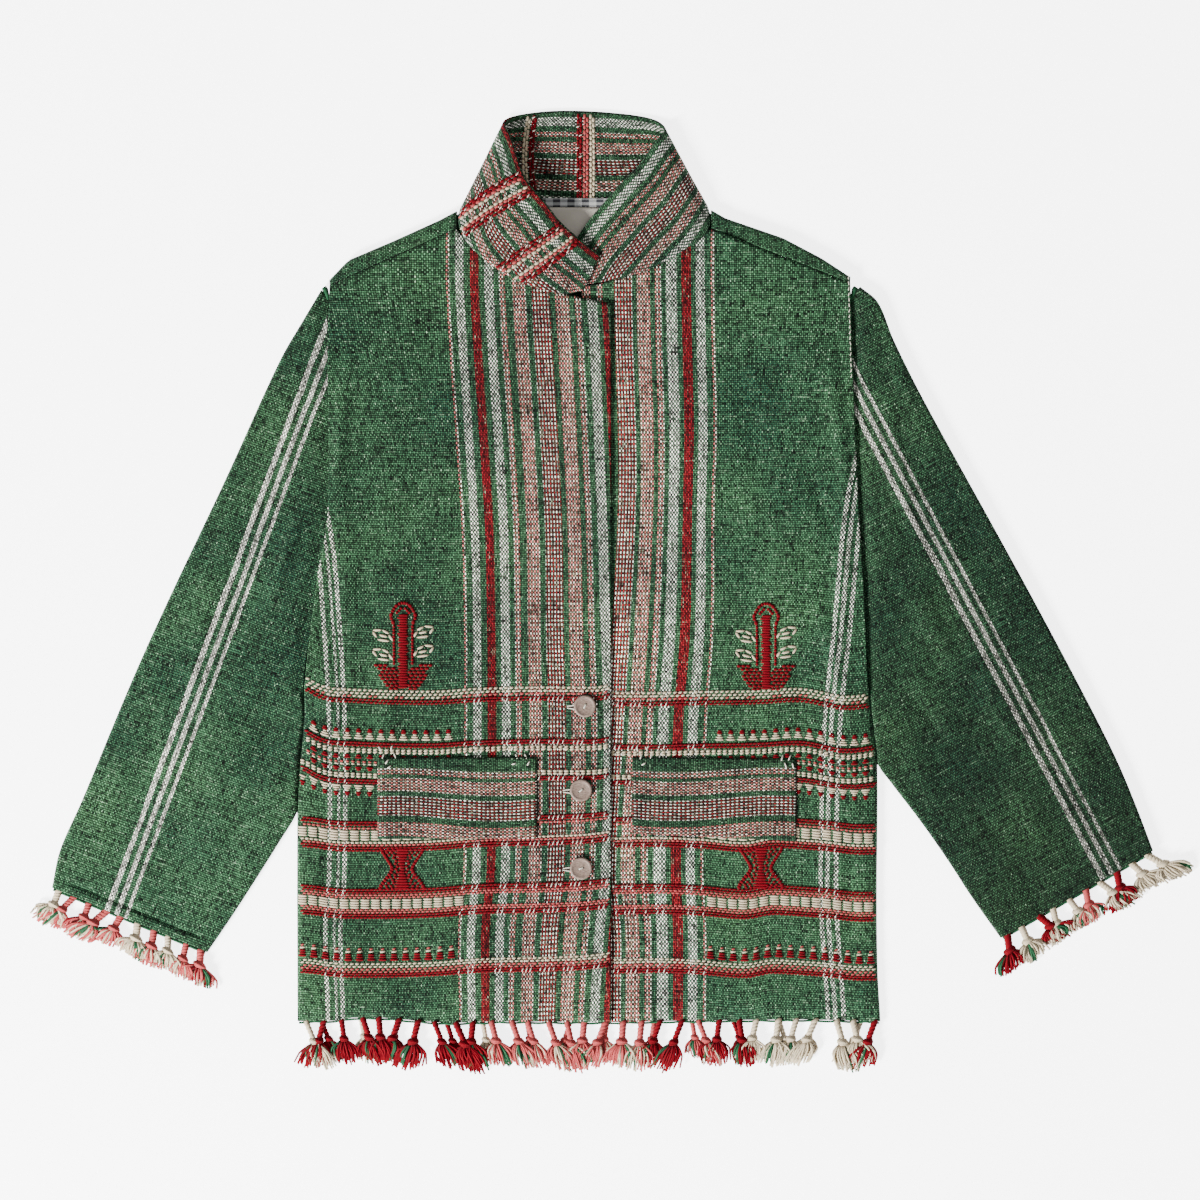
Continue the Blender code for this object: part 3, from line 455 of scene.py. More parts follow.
# %% Edges of the collar
COLLAR = table(
    "seam_x seam_y seam_z top_x top_y top_z",
    (-17.6, 271.4, 10.9, -3.1, 302.9, 12.4),
    (-39.1, 268.7, 10.8, -21.2, 317.2, 13.6),
    (-71.5, 277.7, 9.0, -39.1, 333.4, 14.6),
    (-90.5, 287.6, 8.9, -52.6, 350.6, 15.0),
    (-111.2, 302.6, 8.9, -70.7, 373.1, 14.8),
    (-124.6, 317.0, 8.9, -78.8, 396.4, 13.6),
    (-129.3, 328.0, 8.6, -84.2, 411.8, 11.4),
    (-130.0, 336.6, 6.2, -89.5, 420.7, 7.4),
    (-128.4, 344.7, 3.7, -88.2, 425.0, 3.6),
    (-124.2, 350.3, 1.6, -82.2, 428.2, 1.6),
    (-111.2, 349.9, 0.9, -69.5, 430.9, 0.9),
    (-66.2, 349.7, 0.9, -46.0, 433.3, 0.9),
    (-17.6, 349.7, 0.9, -17.6, 433.3, 0.9),
    (32.9, 349.7, 0.9, 11.0, 431.4, 0.9),
    (77.9, 349.9, 0.9, 34.6, 428.4, 0.9),
    (90.6, 350.6, 1.6, 46.9, 425.0, 1.6),
    (94.0, 344.6, 3.7, 53.0, 420.4, 3.6),
    (95.6, 336.8, 6.2, 55.0, 415.4, 7.0),
    (94.6, 328.0, 8.6, 49.6, 408.8, 9.8),
    (89.5, 319.6, 8.9, 41.9, 398.4, 11.0),
    (77.9, 311.4, 8.9, 32.9, 385.8, 11.2),
    (58.1, 299.0, 8.9, 16.7, 368.8, 10.8),
    (37.4, 289.2, 8.8, 1.0, 350.9, 10.0),
    (14.8, 282.4, 8.6, -14.0, 333.4, 9.2),
    (-8.3, 278.2, 8.4, -28.4, 311.9, 8.7),
    (-24.8, 276.4, 8.3, -38.1, 302.9, 8.4),
)
print("places along the collar", len(COLLAR))

# %% [markdown]
# Each fold is a soft oblong swelling: its middle, the way it runs in degrees from +X, its
# length and width, and its height. The creases are finer, and some of them are hollows.

# %% Folds
FRONT_FOLDS = table(
    "x y turn length width height",
    (-232.0, 40.0, 94.0, 300.0, 26.0, 1.7),
    (-246.0, -90.0, 98.0, 120.0, 30.0, 1.6),
    (-180.0, -60.0, 80.0, 190.0, 60.0, 1.3),
    (-90.0, 140.0, 86.0, 210.0, 70.0, 1.1),
    (-150.0, -300.0, 84.0, 150.0, 60.0, 1.4),
    (-228.0, -330.0, 92.0, 100.0, 44.0, 1.5),
    (214.0, 20.0, 88.0, 330.0, 24.0, 1.9),
    (218.0, -120.0, 80.0, 120.0, 36.0, 1.6),
    (150.0, 60.0, 96.0, 240.0, 64.0, 1.2),
    (90.0, -310.0, 92.0, 150.0, 70.0, 1.3),
    (200.0, -320.0, 97.0, 130.0, 40.0, 1.5),
)
SLEEVE_FOLDS = table(
    "x y turn length width height",
    (-286.0, 30.0, 70.0, 130.0, 22.0, 2.6),
    (-302.0, -60.0, 60.0, 130.0, 26.0, 2.4),
    (-340.0, -120.0, 74.0, 190.0, 40.0, 1.8),
    (-390.0, -180.0, 68.0, 120.0, 36.0, 1.5),
    (276.0, 70.0, 112.0, 150.0, 24.0, 2.4),
    (300.0, -40.0, 122.0, 150.0, 28.0, 2.6),
    (360.0, -110.0, 112.0, 190.0, 40.0, 1.8),
    (390.0, -200.0, 106.0, 120.0, 40.0, 1.5),
)
print("folds", len(FRONT_FOLDS) + len(SLEEVE_FOLDS))

# %% Creases
FRONT_CREASES = table(
    "x y turn length width height",
    (-236.0, 150.0, 84.0, 190.0, 22.0, 1.3),
    (-222.0, 96.0, 62.0, 110.0, 16.0, -0.9),
    (-228.0, 10.0, 70.0, 130.0, 18.0, 1.2),
    (-204.0, -20.0, 58.0, 120.0, 22.0, -1.1),
    (-190.0, 210.0, 40.0, 130.0, 30.0, 0.9),
    (-170.0, 96.0, 74.0, 170.0, 34.0, -0.8),
    (-196.0, -120.0, 84.0, 130.0, 20.0, 0.9),
    (-120.0, 30.0, 86.0, 260.0, 24.0, 0.7),
    (-96.0, -60.0, 94.0, 150.0, 20.0, -0.7),
    (-250.0, -250.0, 88.0, 150.0, 18.0, -0.9),
    (-110.0, -310.0, 82.0, 120.0, 26.0, 0.9),
    (210.0, 160.0, 97.0, 190.0, 20.0, 1.3),
    (196.0, 80.0, 112.0, 120.0, 18.0, -1.0),
    (200.0, -40.0, 104.0, 150.0, 20.0, 1.2),
    (170.0, 220.0, 138.0, 120.0, 28.0, 0.8),
    (140.0, 120.0, 100.0, 190.0, 30.0, -0.8),
    (176.0, -90.0, 96.0, 120.0, 20.0, -0.9),
    (96.0, 60.0, 92.0, 240.0, 22.0, 0.7),
    (222.0, -260.0, 90.0, 150.0, 18.0, -1.0),
    (130.0, -320.0, 98.0, 120.0, 28.0, 0.9),
)
SLEEVE_CREASES = table(
    "x y turn length width height",
    (-280.0, 150.0, 82.0, 150.0, 16.0, 0.9),
    (-268.0, -20.0, 64.0, 110.0, 12.0, 1.1),
    (-318.0, -20.0, 58.0, 120.0, 18.0, -1.4),
    (-300.0, -120.0, 52.0, 90.0, 16.0, -1.2),
    (-330.0, 40.0, 70.0, 120.0, 20.0, -0.8),
    (-372.0, -90.0, 78.0, 150.0, 18.0, 0.8),
    (-420.0, -210.0, 66.0, 110.0, 20.0, -0.9),
    (-352.0, -236.0, 62.0, 90.0, 16.0, 1.0),
    (-440.0, -130.0, 70.0, 100.0, 14.0, 0.7),
    (262.0, 140.0, 104.0, 150.0, 16.0, 0.9),
    (256.0, -10.0, 118.0, 110.0, 12.0, 1.1),
    (312.0, 10.0, 118.0, 130.0, 18.0, -1.4),
    (290.0, -110.0, 128.0, 90.0, 16.0, -1.2),
    (350.0, -40.0, 116.0, 120.0, 16.0, 0.8),
    (396.0, -120.0, 110.0, 150.0, 18.0, -0.8),
    (420.0, -196.0, 112.0, 100.0, 18.0, 0.9),
    (346.0, -210.0, 124.0, 100.0, 16.0, -1.0),
)
print("creases", len(FRONT_CREASES) + len(SLEEVE_CREASES))

# %% Flaps and buttons
FLAP_CORNERS = {
    "left": table("x y", (-203.0, -221.5), (-59.9, -221.0), (-59.9, -148.0), (-203.0, -148.5)),
    "right": table("x y", (25.7, -216.8), (173.2, -223.2), (173.2, -149.8), (25.7, -148.1)),
}
BUTTONS = table(
    "name x y turn",
    ("button_1", -16.7, -102.2, 62.0), ("button_2", -20.2, -177.8, 38.0),
    ("button_3", -20.2, -248.0, 20.0),
)
print("flaps", len(FLAP_CORNERS), "buttons", len(BUTTONS))


# %% Reading the tables
def smoothstep(t):
    """From 0 to 1 with a soft start and end."""
    t = min(max(t, 0.0), 1.0)
    return t * t * (3.0 - 2.0 * t)


def read(knots, values, at):
    """A smooth value at a place among rising knots."""
    at = min(max(at, knots[0]), knots[-1])
    i = 0
    while i < len(knots) - 2 and at > knots[i + 1]:
        i += 1
    slopes = []
    for k in (i, i + 1):
        low = max(k - 1, 0)
        high = min(k + 1, len(knots) - 1)
        slopes.append((values[high] - values[low]) / (knots[high] - knots[low]))
    span = knots[i + 1] - knots[i]
    t = (at - knots[i]) / span
    bend = t * t * (3 - 2 * t)
    return (values[i] * (1 - bend) + values[i + 1] * bend
            + span * (slopes[0] * t * (1 - t) ** 2 - slopes[1] * t * t * (1 - t)))


def straight(knots, values, at):
    """The value on the broken line through the rows."""
    at = min(max(at, knots[0]), knots[-1])
    i = 0
    while i < len(knots) - 2 and at > knots[i + 1]:
        i += 1
    return values[i] + (values[i + 1] - values[i]) * (at - knots[i]) / (knots[i + 1] - knots[i])


def x_at(rows, y):
    """Where an edge that runs up or down is at a height, in metres."""
    rows = sorted(rows, key=lambda r: r.y)
    return read([r.y for r in rows], [r.x for r in rows], y / MM) * MM


def y_at(rows, x):
    """Where an edge that runs across is at a place, in metres."""
    return straight([r.x for r in rows], [r.y for r in rows], x / MM) * MM


def along_edge(rows, share):
    """The place at a share of the length of an edge, in metres."""
    lengths = [0.0]
    for a, b in zip(rows, rows[1:]):
        lengths.append(lengths[-1] + math.hypot(b.x - a.x, b.y - a.y))
    at = share * lengths[-1]
    return Vector((read(lengths, [r.x for r in rows], at), read(lengths, [r.y for r in rows], at))) * MM


def folds_at(rows, x, y):
    """The height of the soft folds at a place."""
    total = 0.0
    for row in rows:
        turn = math.radians(row.turn)
        dx = x / MM - row.x
        dy = y / MM - row.y
        run = (dx * math.cos(turn) + dy * math.sin(turn)) / (row.length / 2)
        side = (dy * math.cos(turn) - dx * math.sin(turn)) / (row.width / 2)
        if abs(run) < 1 and abs(side) < 1:
            total += row.height * (1 - run * run) ** 2 * (1 - side * side) ** 2
    return total * MM


def steps(first, last, count):
    """Evenly spread numbers, both ends with them."""
    return [first + (last - first) * k / count for k in range(count + 1)]


def ripple(x, y, size, height):
    """Unevenness of handwoven cloth, in metres."""
    return height * noise.noise(Vector((x / size, y / size, 3.7)))


print("side seam at the chest, m", round(x_at(LEFT_SIDE, 0.0), 3), round(x_at(RIGHT_SIDE, 0.0), 3))

# %% [markdown]
# ## Fronts
#
# Each front is a thin shell over its solid: low at the side seam and hem, where it lies on
# the back, and highest along the closure. The map "cloth" follows the yarns and not the
# table: where the stripes lean, the tables below say where four lines of the warp run, and
# how far the weft bands lie above or below their own height.

# %% How the stripes and bands run
LEFT_RUN = table(
    "y side pink net edge",
    (276.8, -327.0, -140.9, -58.1, -12.2), (227.3, -309.0, -138.2, -55.4, -8.6),
    (146.3, -275.0, -132.8, -50.0, -5.0), (56.3, -252.5, -126.9, -45.5, -1.4),
    (-33.8, -243.5, -124.7, -44.6, 1.4), (-119.3, -239.0, -124.7, -42.8, 4.1),
    (-249.8, -239.0, -125.6, -43.7, 1.4), (-303.8, -242.6, -130.1, -49.1, -4.1),
    (-373.1, -240.3, -129.2, -51.8, -8.6),
)
LEFT_AT = (-245.3, -126.9, -45.5, -0.9)
RIGHT_RUN = table(
    "y pink red fine side",
    (276.8, 34.7, 73.4, 96.8, 266.9), (227.3, 35.6, 74.3, 97.7, 257.9),
    (146.3, 38.3, 76.1, 99.5, 239.9), (78.8, 38.3, 74.7, 97.7, 224.6),
    (-33.8, 32.9, 72.5, 96.8, 212.9), (-119.3, 27.5, 66.2, 90.9, 204.3),
    (-249.8, 20.3, 64.4, 87.8, 200.7), (-303.8, 24.8, 66.2, 90.5, 202.1),
    (-373.1, 24.8, 66.2, 90.0, 207.5),
)
RIGHT_AT = (38.3, 74.7, 97.2, 219.2)
LEFT_WAVE = table(
    "x upper lower",
    (-275.0, 15.0, 4.0), (-266.0, 11.5, 3.6), (-257.0, 6.5, 2.7), (-246.0, 3.0, 1.0),
    (-232.0, 1.9, 0.0), (-183.0, 0.0, 0.0), (-147.0, 0.0, 1.4), (-114.8, 2.2, 4.0),
    (-57.0, 3.6, 5.4), (-21.0, 3.4, 6.8), (-3.0, 4.0, 8.5), (8.0, 6.4, 10.2),
)
RIGHT_WAVE = table(
    "x upper lower",
    (-20.0, -1.4, 3.6), (7.6, -1.4, 3.6), (50.8, -1.4, 4.2), (86.9, -0.5, 2.7),
    (127.4, 0.0, -0.5), (149.9, 0.9, 3.2), (167.9, 2.2, 2.7), (184.0, 1.4, 1.6),
    (199.4, -1.8, 0.5), (212.9, -4.5, -1.2), (226.4, -4.5, -2.7), (244.0, -1.8, -2.7),
)


def run_of(rows, at, x, y):
    """How far across the warp a place is, from where the tabled stripes run."""
    knots = [r.y for r in reversed(rows)]
    runs = [read(knots, [r[k] for r in reversed(rows)], y / MM) for k in range(1, 5)]
    x = x / MM
    if x < runs[0]:
        return (at[0] + x - runs[0]) * MM
    if x > runs[-1]:
        return (at[-1] + x - runs[-1]) * MM
    return straight(runs, at, x) * MM


def wave_of(rows, x, y):
    """How far the weft bands lie above their own height, in metres."""
    knots = [r.x for r in rows]
    upper = read(knots, [r.upper for r in rows], x / MM)
    lower = read(knots, [r.lower for r in rows], x / MM)
    share = smoothstep((-150.0 - y / MM) / 60.0)
    fade = smoothstep((60.0 - y / MM) / 120.0)
    return (upper + (lower - upper) * share) * MM * fade


def left_map(x, y):
    return run_of(LEFT_RUN, LEFT_AT, x, y), y - wave_of(LEFT_WAVE, x, y)


def right_map(x, y):
    return run_of(RIGHT_RUN, RIGHT_AT, x, y), y - wave_of(RIGHT_WAVE, x, y)


print("left front at x -0.12, y 0 is cloth at", [round(c, 3) for c in left_map(-0.12, 0.0)])

# %% How high the fronts lie
def from_side(x, y):
    """How far inside the side seam a place is."""
    return x - x_at(LEFT_SIDE, y) if x < 0 else x_at(RIGHT_SIDE, y) - x


def front_underside(x, y):
    """The height of a front's lower side."""
    inside = from_side(x, y)
    armhole = smoothstep((y - UNDERARM_Y + 34 * MM) / (60 * MM))
    edge = SIDE_REST + (ARMHOLE_REST - SIDE_REST) * armhole
    centre = smoothstep((60 * MM - abs(x - UNDERLAP_EDGE_X)) / (26 * MM))
    full = FRONT_REST + (1 - centre) * folds_at(FRONT_FOLDS, x, y)
    risen = math.sqrt(1 - (1 - min(max(inside / ROLL, 0.0), 1.0)) ** 2)
    z = edge + (full - edge) * risen
    hem = y - y_at(HEM, x)
    z = HEM_REST + (z - HEM_REST) * smoothstep(hem / (12 * MM)) if z > HEM_REST else z
    shoulder = LEFT_SEAM if x < 0 else RIGHT_SEAM
    down = y_at(shoulder, x) - y
    if abs(x) > 96 * MM:
        return ARMHOLE_REST + (z - ARMHOLE_REST) * smoothstep(down / (20 * MM))
    return z


def pucker(x, y):
    """The small hollows that the seams draw into the cloth."""
    inside = from_side(x, y)
    near = math.exp(-max(inside, 0.0) / (12 * MM))
    hem = math.exp(-max(y - y_at(HEM, x), 0.0) / (16 * MM))
    seam = near * math.sin(y / (5.2 * MM) + 2.0 * noise.noise(Vector((y * 30, 0.0, 1.0))))
    cast = hem * math.sin(x / (4.4 * MM) + 2.5 * noise.noise(Vector((x * 30, 0.0, 2.0))))
    return 0.22 * MM * seam + 0.25 * MM * cast


def left_underside(x, y):
    lift = PLACKET_LIFT * smoothstep((x - UNDERLAP_EDGE_X + 16 * MM) / (12 * MM))
    return front_underside(x, y) + lift


def right_underside(x, y):
    dip = smoothstep((PLACKET_EDGE_X + 12 * MM - x) / (12 * MM))
    return front_underside(x, y) - (FRONT_REST - UNDERLAP_REST) * dip


def relief(x, y):
    """Soft unevenness, large and small, that fades towards the closure."""
    inside = from_side(x, y)
    loose = smoothstep((abs(x + 8 * MM) - 14 * MM) / (50 * MM)) * smoothstep(inside / (24 * MM))
    broad = noise.noise(Vector((x / (75 * MM), y / (120 * MM), 8.2)))
    drag = noise.noise(Vector((x / (26 * MM), y / (150 * MM), 5.1)))
    soft = folds_at(FRONT_CREASES, x, y) * 1.6 * smoothstep(inside / (8 * MM))
    waves = (1.9 * broad + 1.0 * drag) * MM * loose
    return ripple(x, y, 24 * MM, 0.4 * MM) + waves + soft + pucker(x, y)


def left_top(x, y):
    return left_underside(x, y) + WALL + relief(x, y)


def right_top(x, y):
    return right_underside(x, y) + WALL + relief(x, y)


print("left front at x -0.12, y 0 lies", round(left_top(-0.12, 0.0) / MM, 1), "mm high")

# %% Shells
SHELL = 1.2 * MM


def cloth_piece(name, patches, finish, node, shell=SHELL):
    """A thin closed shell about grids of points with their places on the cloth."""
    vertices, index, faces, places = [], {}, [], []

    def number(point):
        key = tuple(round(c / (0.02 * MM)) for c in point)
        if key not in index:
            index[key] = len(vertices)
            vertices.append(point)
        return index[key]

    for points, cloth in patches:
        for i in range(len(points) - 1):
            for k in range(len(points[0]) - 1):
                corners = ((i, k), (i, k + 1), (i + 1, k + 1), (i + 1, k))
                faces.append([number(points[a][b]) for a, b in corners])
                places.append([cloth[a][b] for a, b in corners])
    mesh = bpy.data.meshes.new(name)
    mesh.from_pydata(vertices, [], faces)
    layer = mesh.uv_layers.new(name="cloth")
    flat = [c for face in places for place in face for c in place]
    layer.data.foreach_set("uv", flat)
    mesh.shade_smooth()
    piece = bpy.data.objects.new(name, mesh)
    bpy.context.collection.objects.link(piece)
    mesh.materials.append(finish)
    area = sum(p.area for p in mesh.polygons)
    thicken = piece.modifiers.new("shell", "SOLIDIFY")
    thicken.thickness = shell
    thicken.offset = 0.0
    thicken.use_even_offset = False
    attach(piece, "root")
    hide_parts(node)
    print(name, len(faces), "faces", round(area, 4), "m2")
    return piece, area


def lined_up(columns):
    """Rows in place of columns."""
    return [list(row) for row in zip(*columns)]


# %% The two fronts
FRONT_ACROSS, FRONT_UP = 94, 205


def front_shell(name, outer, centre_x, top, surface, mapped, finish):
    columns, cloth = [], []
    tip = x_at(outer, top[0].y * MM)
    for across in steps(0.0, 1.0, FRONT_ACROSS):
        across = across + 0.5 * (smoothstep(across) - across)
        x = tip
        for _ in range(10):
            y_top = y_at(top, x)
            edge = x_at(outer, y_top)
            x = edge + across * (centre_x - edge)
        column, places = [], []
        for up in steps(0.0, 1.0, FRONT_UP):
            y = 0.0
            for _ in range(4):
                edge = x_at(outer, y)
                x = edge + across * (centre_x - edge)
                y_hem = y_at(HEM, x)
                y = y_hem + up * (y_top - y_hem)
            column.append(Vector((x, y, surface(x, y) - SHELL / 2)))
            places.append(mapped(x, y))
        columns.append(column)
        cloth.append(places)
    points, cloth = lined_up(columns), lined_up(cloth)
    if centre_x < outer[0].x * MM:
        points, cloth = [r[::-1] for r in points], [r[::-1] for r in cloth]
    return cloth_piece("cloth_" + name, [(points, cloth)], finish, name)


front_left, left_area = front_shell("front_left", LEFT_SIDE, PLACKET_EDGE_X,
                                    LEFT_SEAM[:-1] + LEFT_NECK, left_top, left_map,
                                    WOOL["front_left"])
front_right, right_area = front_shell("front_right", RIGHT_SIDE, UNDERLAP_EDGE_X,
                                      RIGHT_NECK + RIGHT_SEAM[1:], right_top, right_map,
                                      WOOL["front_right"])

# %% [markdown]
# ## Back
#
# The back lies flat and turns over the shoulders to meet the fronts, so it is three grids
# side by side from the hem up, and two narrow ones that go round the shoulder folds.

# %% The back
BACK_UP = 100
FOLD_STEPS = 12


def make_back():
    tip = LEFT_SIDE[0].x
    width = RIGHT_SIDE[0].x - tip
    neck_left = (LEFT_FOLD[-1].x - tip) / width
    neck_right = (RIGHT_FOLD[0].x - tip) / width
    high = FRONT_REST + WALL / 2
    patches = []
    for span, top, seam in ((steps(0.0, neck_left, 30), LEFT_FOLD, LEFT_SEAM),
                            (steps(neck_left, neck_right, 50), BACK_NECK, None),
                            (steps(neck_right, 1.0, 30), RIGHT_FOLD, RIGHT_SEAM)):
        flat, wraps = [], []
        for across in span:
            x_top = (tip + across * width) * MM
            y_top = y_at(top, x_top) - (FOLD_RADIUS if seam else 0.0)
            if abs(across - neck_left) < 1e-9 or abs(across - neck_right) < 1e-9:
                y_top = y_at(LEFT_FOLD if across < 0.5 else RIGHT_FOLD, x_top) - FOLD_RADIUS
            column = []
            for up in steps(0.0, 1.0, BACK_UP):
                y = 0.0
                for _ in range(4):
                    left = x_at(LEFT_SIDE, y)
                    x = left + across * (x_at(RIGHT_SIDE, y) - left)
                    y_hem = y_at(HEM, x)
                    y = y_hem + up * (y_top - y_hem)
                column.append(Vector((x, y, WALL / 2)))
            flat.append(column)
            if seam:
                start = column[-1]
                middle = (WALL / 2 + high) / 2
                wrap = [start]
                for k in range(1, FOLD_STEPS + 1):
                    turn = math.pi * k / FOLD_STEPS
                    wrap.append(Vector((start.x, start.y + FOLD_RADIUS * math.sin(turn),
                                        middle - (high - middle) * math.cos(turn))))
                y_seam = min(y_at(seam, start.x) + 0.5 * MM, start.y - 0.3 * MM)
                for share in steps(0.0, 1.0, 6)[1:]:
                    y = start.y + (y_seam - start.y) * share
                    z = high + (ARMHOLE_REST + WALL / 2 - high) * share
                    z += ripple(start.x, y, 14 * MM, 0.3 * MM) * (1 - share)
                    wrap.append(Vector((start.x, y, z)))
                wraps.append(wrap)
        points = lined_up(flat)
        patches.append((points, [[(p.x, p.y) for p in row] for row in points]))
        if seam:
            points = lined_up(wraps)
            # The map is drawn in a little here, so that no stripe reaches the shoulder's tip
            patches.append((points, [[(p.x * 0.9, p.y - 0.012 * (k / len(points)) - p.z) for p in row]
                                     for k, row in enumerate(points)]))
    return cloth_piece("cloth_back", patches, WOOL["back"], "back")


back, back_area = make_back()

# %% [markdown]
# ## Sleeves
#
# A sleeve is a flattened tube. Its outer edge is a fold of the cloth, and its seam runs
# below. Its stripes run down the arm, so its map is turned by the arm's own angle.

# %% Sleeves
SLEEVE_LENGTH = 640.0
CUFF_HEM = 26.0
HEAD_ROWS, ARM_ROWS, CUFF_ROWS = 80, 90, 18
SLEEVE_LINES = {
    -1: table("x y", (-258.8, 188.6), (-435.2, -284.9)),
    1: table("x y", (225.5, 185.9), (456.8, -250.7)),
}


def sleeve_edge(body, free, side):
    """The inner edge: along the armhole of the body, and then free down to the cuff."""
    rows = []
    for y in steps(SLEEVE_HEAD_Y, free[0].y * MM, 40):
        rows += table("x y", (x_at(body, y) / MM + side * ARMHOLE_GAP / MM, y / MM))
    return rows + free[1:]


def share_at(rows, y):
    """The share of an edge's length that lies above a height."""
    lengths = [math.hypot(b.x - a.x, b.y - a.y) for a, b in zip(rows, rows[1:])]
    above = sum(length for length, b in zip(lengths, rows[1:]) if b.y >= y)
    return above / sum(lengths)


def sleeve_map(side):
    """The map of a sleeve, from the line that its middle stripe follows."""
    high, low = SLEEVE_LINES[side]
    way = Vector((low.x - high.x, low.y - high.y)).normalized()

    def mapped(point):
        dx = point.x / MM - high.x
        dy = point.y / MM - high.y
        return (dx * way.y - dy * way.x) * MM, -(dx * way.x + dy * way.y) * MM

    return mapped


def sleeve_relief(x, y, to_cuff):
    """Creases, the stitched hem of the cuff and the cloth's unevenness."""
    hem = math.exp(-((to_cuff - 11 * MM) / (2.2 * MM)) ** 2)
    turned = math.exp(-((to_cuff - 5 * MM) / (4.0 * MM)) ** 2)
    side = 1 if x > 0 else -1
    down = abs(x) * 0.44 - y * 0.9
    out = abs(x) * 0.9 + y * 0.44
    drag = noise.noise(Vector((out / (24 * MM), down / (110 * MM), 4.0 + side)))
    broad = noise.noise(Vector((x / (60 * MM), y / (90 * MM), 6.6)))
    soft = folds_at(SLEEVE_CREASES, x, y) * 1.25 + ripple(x, y, 20 * MM, 0.6 * MM)
    return soft + (1.5 * drag + 1.5 * broad - 1.5 * hem + 0.6 * turned) * MM


# %% Making a sleeve
def make_sleeve(name, outer, body, free, side):
    """Rows from the head to the cuff: an upper and a lower layer, and the folds that join them."""
    inner = sleeve_edge(body, free, side)
    underarm = share_at(inner, UNDERARM_Y / MM)
    near_cuff = 1.0 - CUFF_HEM / SLEEVE_LENGTH
    shares = (steps(0.0, underarm, HEAD_ROWS) + steps(underarm, near_cuff, ARM_ROWS)[1:]
              + steps(near_cuff, 1.0, CUFF_ROWS)[1:])
    low_z = WALL / 2
    mapped = sleeve_map(side)
    upper, lower, outer_fold, inner_fold = [], [], [], []
    for k, share in enumerate(shares):
        start = along_edge(outer, share)
        end = along_edge(inner, share)
        way = (end - start).normalized()
        length = (end - start).length
        rise = smoothstep((length - SLEEVE_TOP / 2) / SLEEVE_RISE) if k < HEAD_ROWS else 1.0
        high_z = SLEEVE_TUCK_Z + (SLEEVE_TOP - SLEEVE_TUCK_Z) * rise
        radius = (high_z - low_z) / 2
        first = radius + WALL / 2
        closed = k >= HEAD_ROWS
        last = length - first if closed else length
        tuck = SLEEVE_TUCK * smoothstep((share - 0.03) / 0.08)
        tuck *= smoothstep((underarm - share - 0.05) / 0.08)
        to_cuff = (1 - share) * SLEEVE_LENGTH * MM

        def spot(distance, z):
            place = start + way * distance
            return Vector((place.x, place.y, z))

        row = []
        for across in steps(0.0, 1.0, 56):
            across = across + 0.6 * (smoothstep(across) - across)
            point = spot(first + across * (last - first), high_z)
            if not closed:
                free_of_body = (last - first) * (1 - across) / SLEEVE_RISE
                settled = smoothstep(free_of_body / max(rise, 0.3))
                point.z = SLEEVE_TUCK_Z + (high_z - SLEEVE_TUCK_Z) * settled
            if 0 < across < 1:
                share_up = (point.z - SLEEVE_TUCK_Z) / (SLEEVE_TOP - SLEEVE_TUCK_Z)
                soft = sleeve_relief(point.x, point.y, to_cuff) * smoothstep(across * 8)
                soft *= smoothstep((1 - across) * 8)
                point.z += (folds_at(SLEEVE_FOLDS, point.x, point.y) + soft) * share_up
            point.z = max(point.z, 3.2 * MM)
            row.append(point)
        row[0].z = high_z
        if tuck:
            row[-1] = Vector((row[-1].x - side * tuck, row[-1].y, min(SLEEVE_TUCK_Z, high_z)))
        upper.append(row)
        lower.append([spot(first + across * (last - first), low_z)
                      for across in steps(0.0, 1.0, 12)])
        turns = [math.pi * (j / 8 - 0.5) for j in range(9)]
        middle = (low_z + high_z) / 2
        outer_fold.append([spot(first - radius * math.cos(t), middle + radius * math.sin(t))
                           for t in turns])
        if closed:
            inner_fold.append([spot(last + radius * math.cos(t), middle + radius * math.sin(t))
                               for t in turns])
    patches = [upper, [row[::-1] for row in lower], outer_fold, [row[::-1] for row in inner_fold]]
    if side < 0:
        patches = [[row[::-1] for row in patch] for patch in patches]
    charted = []
    for patch in patches:
        cloth = []
        for row in patch:
            places = []
            for point in row:
                across, along = mapped(point)
                below = (SLEEVE_TOP - point.z) * 0.5 if point.z < 5 * MM else 0.0
                places.append((across + below, along))
            cloth.append(places)
        charted.append((patch, cloth))
    finish = WOOL["sleeve"] if side < 0 else WOOL["sleeve_right"]
    return cloth_piece("cloth_" + name, charted, finish, name)


sleeve_left, sleeve_left_area = make_sleeve("sleeve_left", LEFT_SLEEVE_OUTER, LEFT_SIDE,
                                            LEFT_SLEEVE_INNER, -1)
sleeve_right, sleeve_right_area = make_sleeve("sleeve_right", RIGHT_SLEEVE_OUTER, RIGHT_SIDE,
                                              RIGHT_SLEEVE_INNER, 1)

# %% [markdown]
# ## Collar
#
# The collar is one strip. Its stripes follow the top edge, so its map is measured from
# there; past the left fold they have crept 7 mm nearer to the edge.


# %% The collar
def collar_knots():
    """The length along the strip at each row of its table."""
    knots = [0.0]
    for a, b in zip(COLLAR, COLLAR[1:]):
        step = math.hypot(b.seam_x - a.seam_x, b.seam_y - a.seam_y, b.seam_z - a.seam_z)
        rise = math.hypot(b.top_x - a.top_x, b.top_y - a.top_y, b.top_z - a.top_z)
        knots.append(knots[-1] + (step + rise) / 2)
    return knots


COLLAR_KNOTS = collar_knots()
COLLAR_LENGTH = COLLAR_KNOTS[-1]


def collar_edge(kind, at):
    """A place on the seam or on the top edge, in millimetres."""
    values = [read(COLLAR_KNOTS, [getattr(r, kind + c) for r in COLLAR], at)
              for c in ("_x", "_y", "_z")]
    values[2] = max(values[2], 0.9)
    return Vector(values)


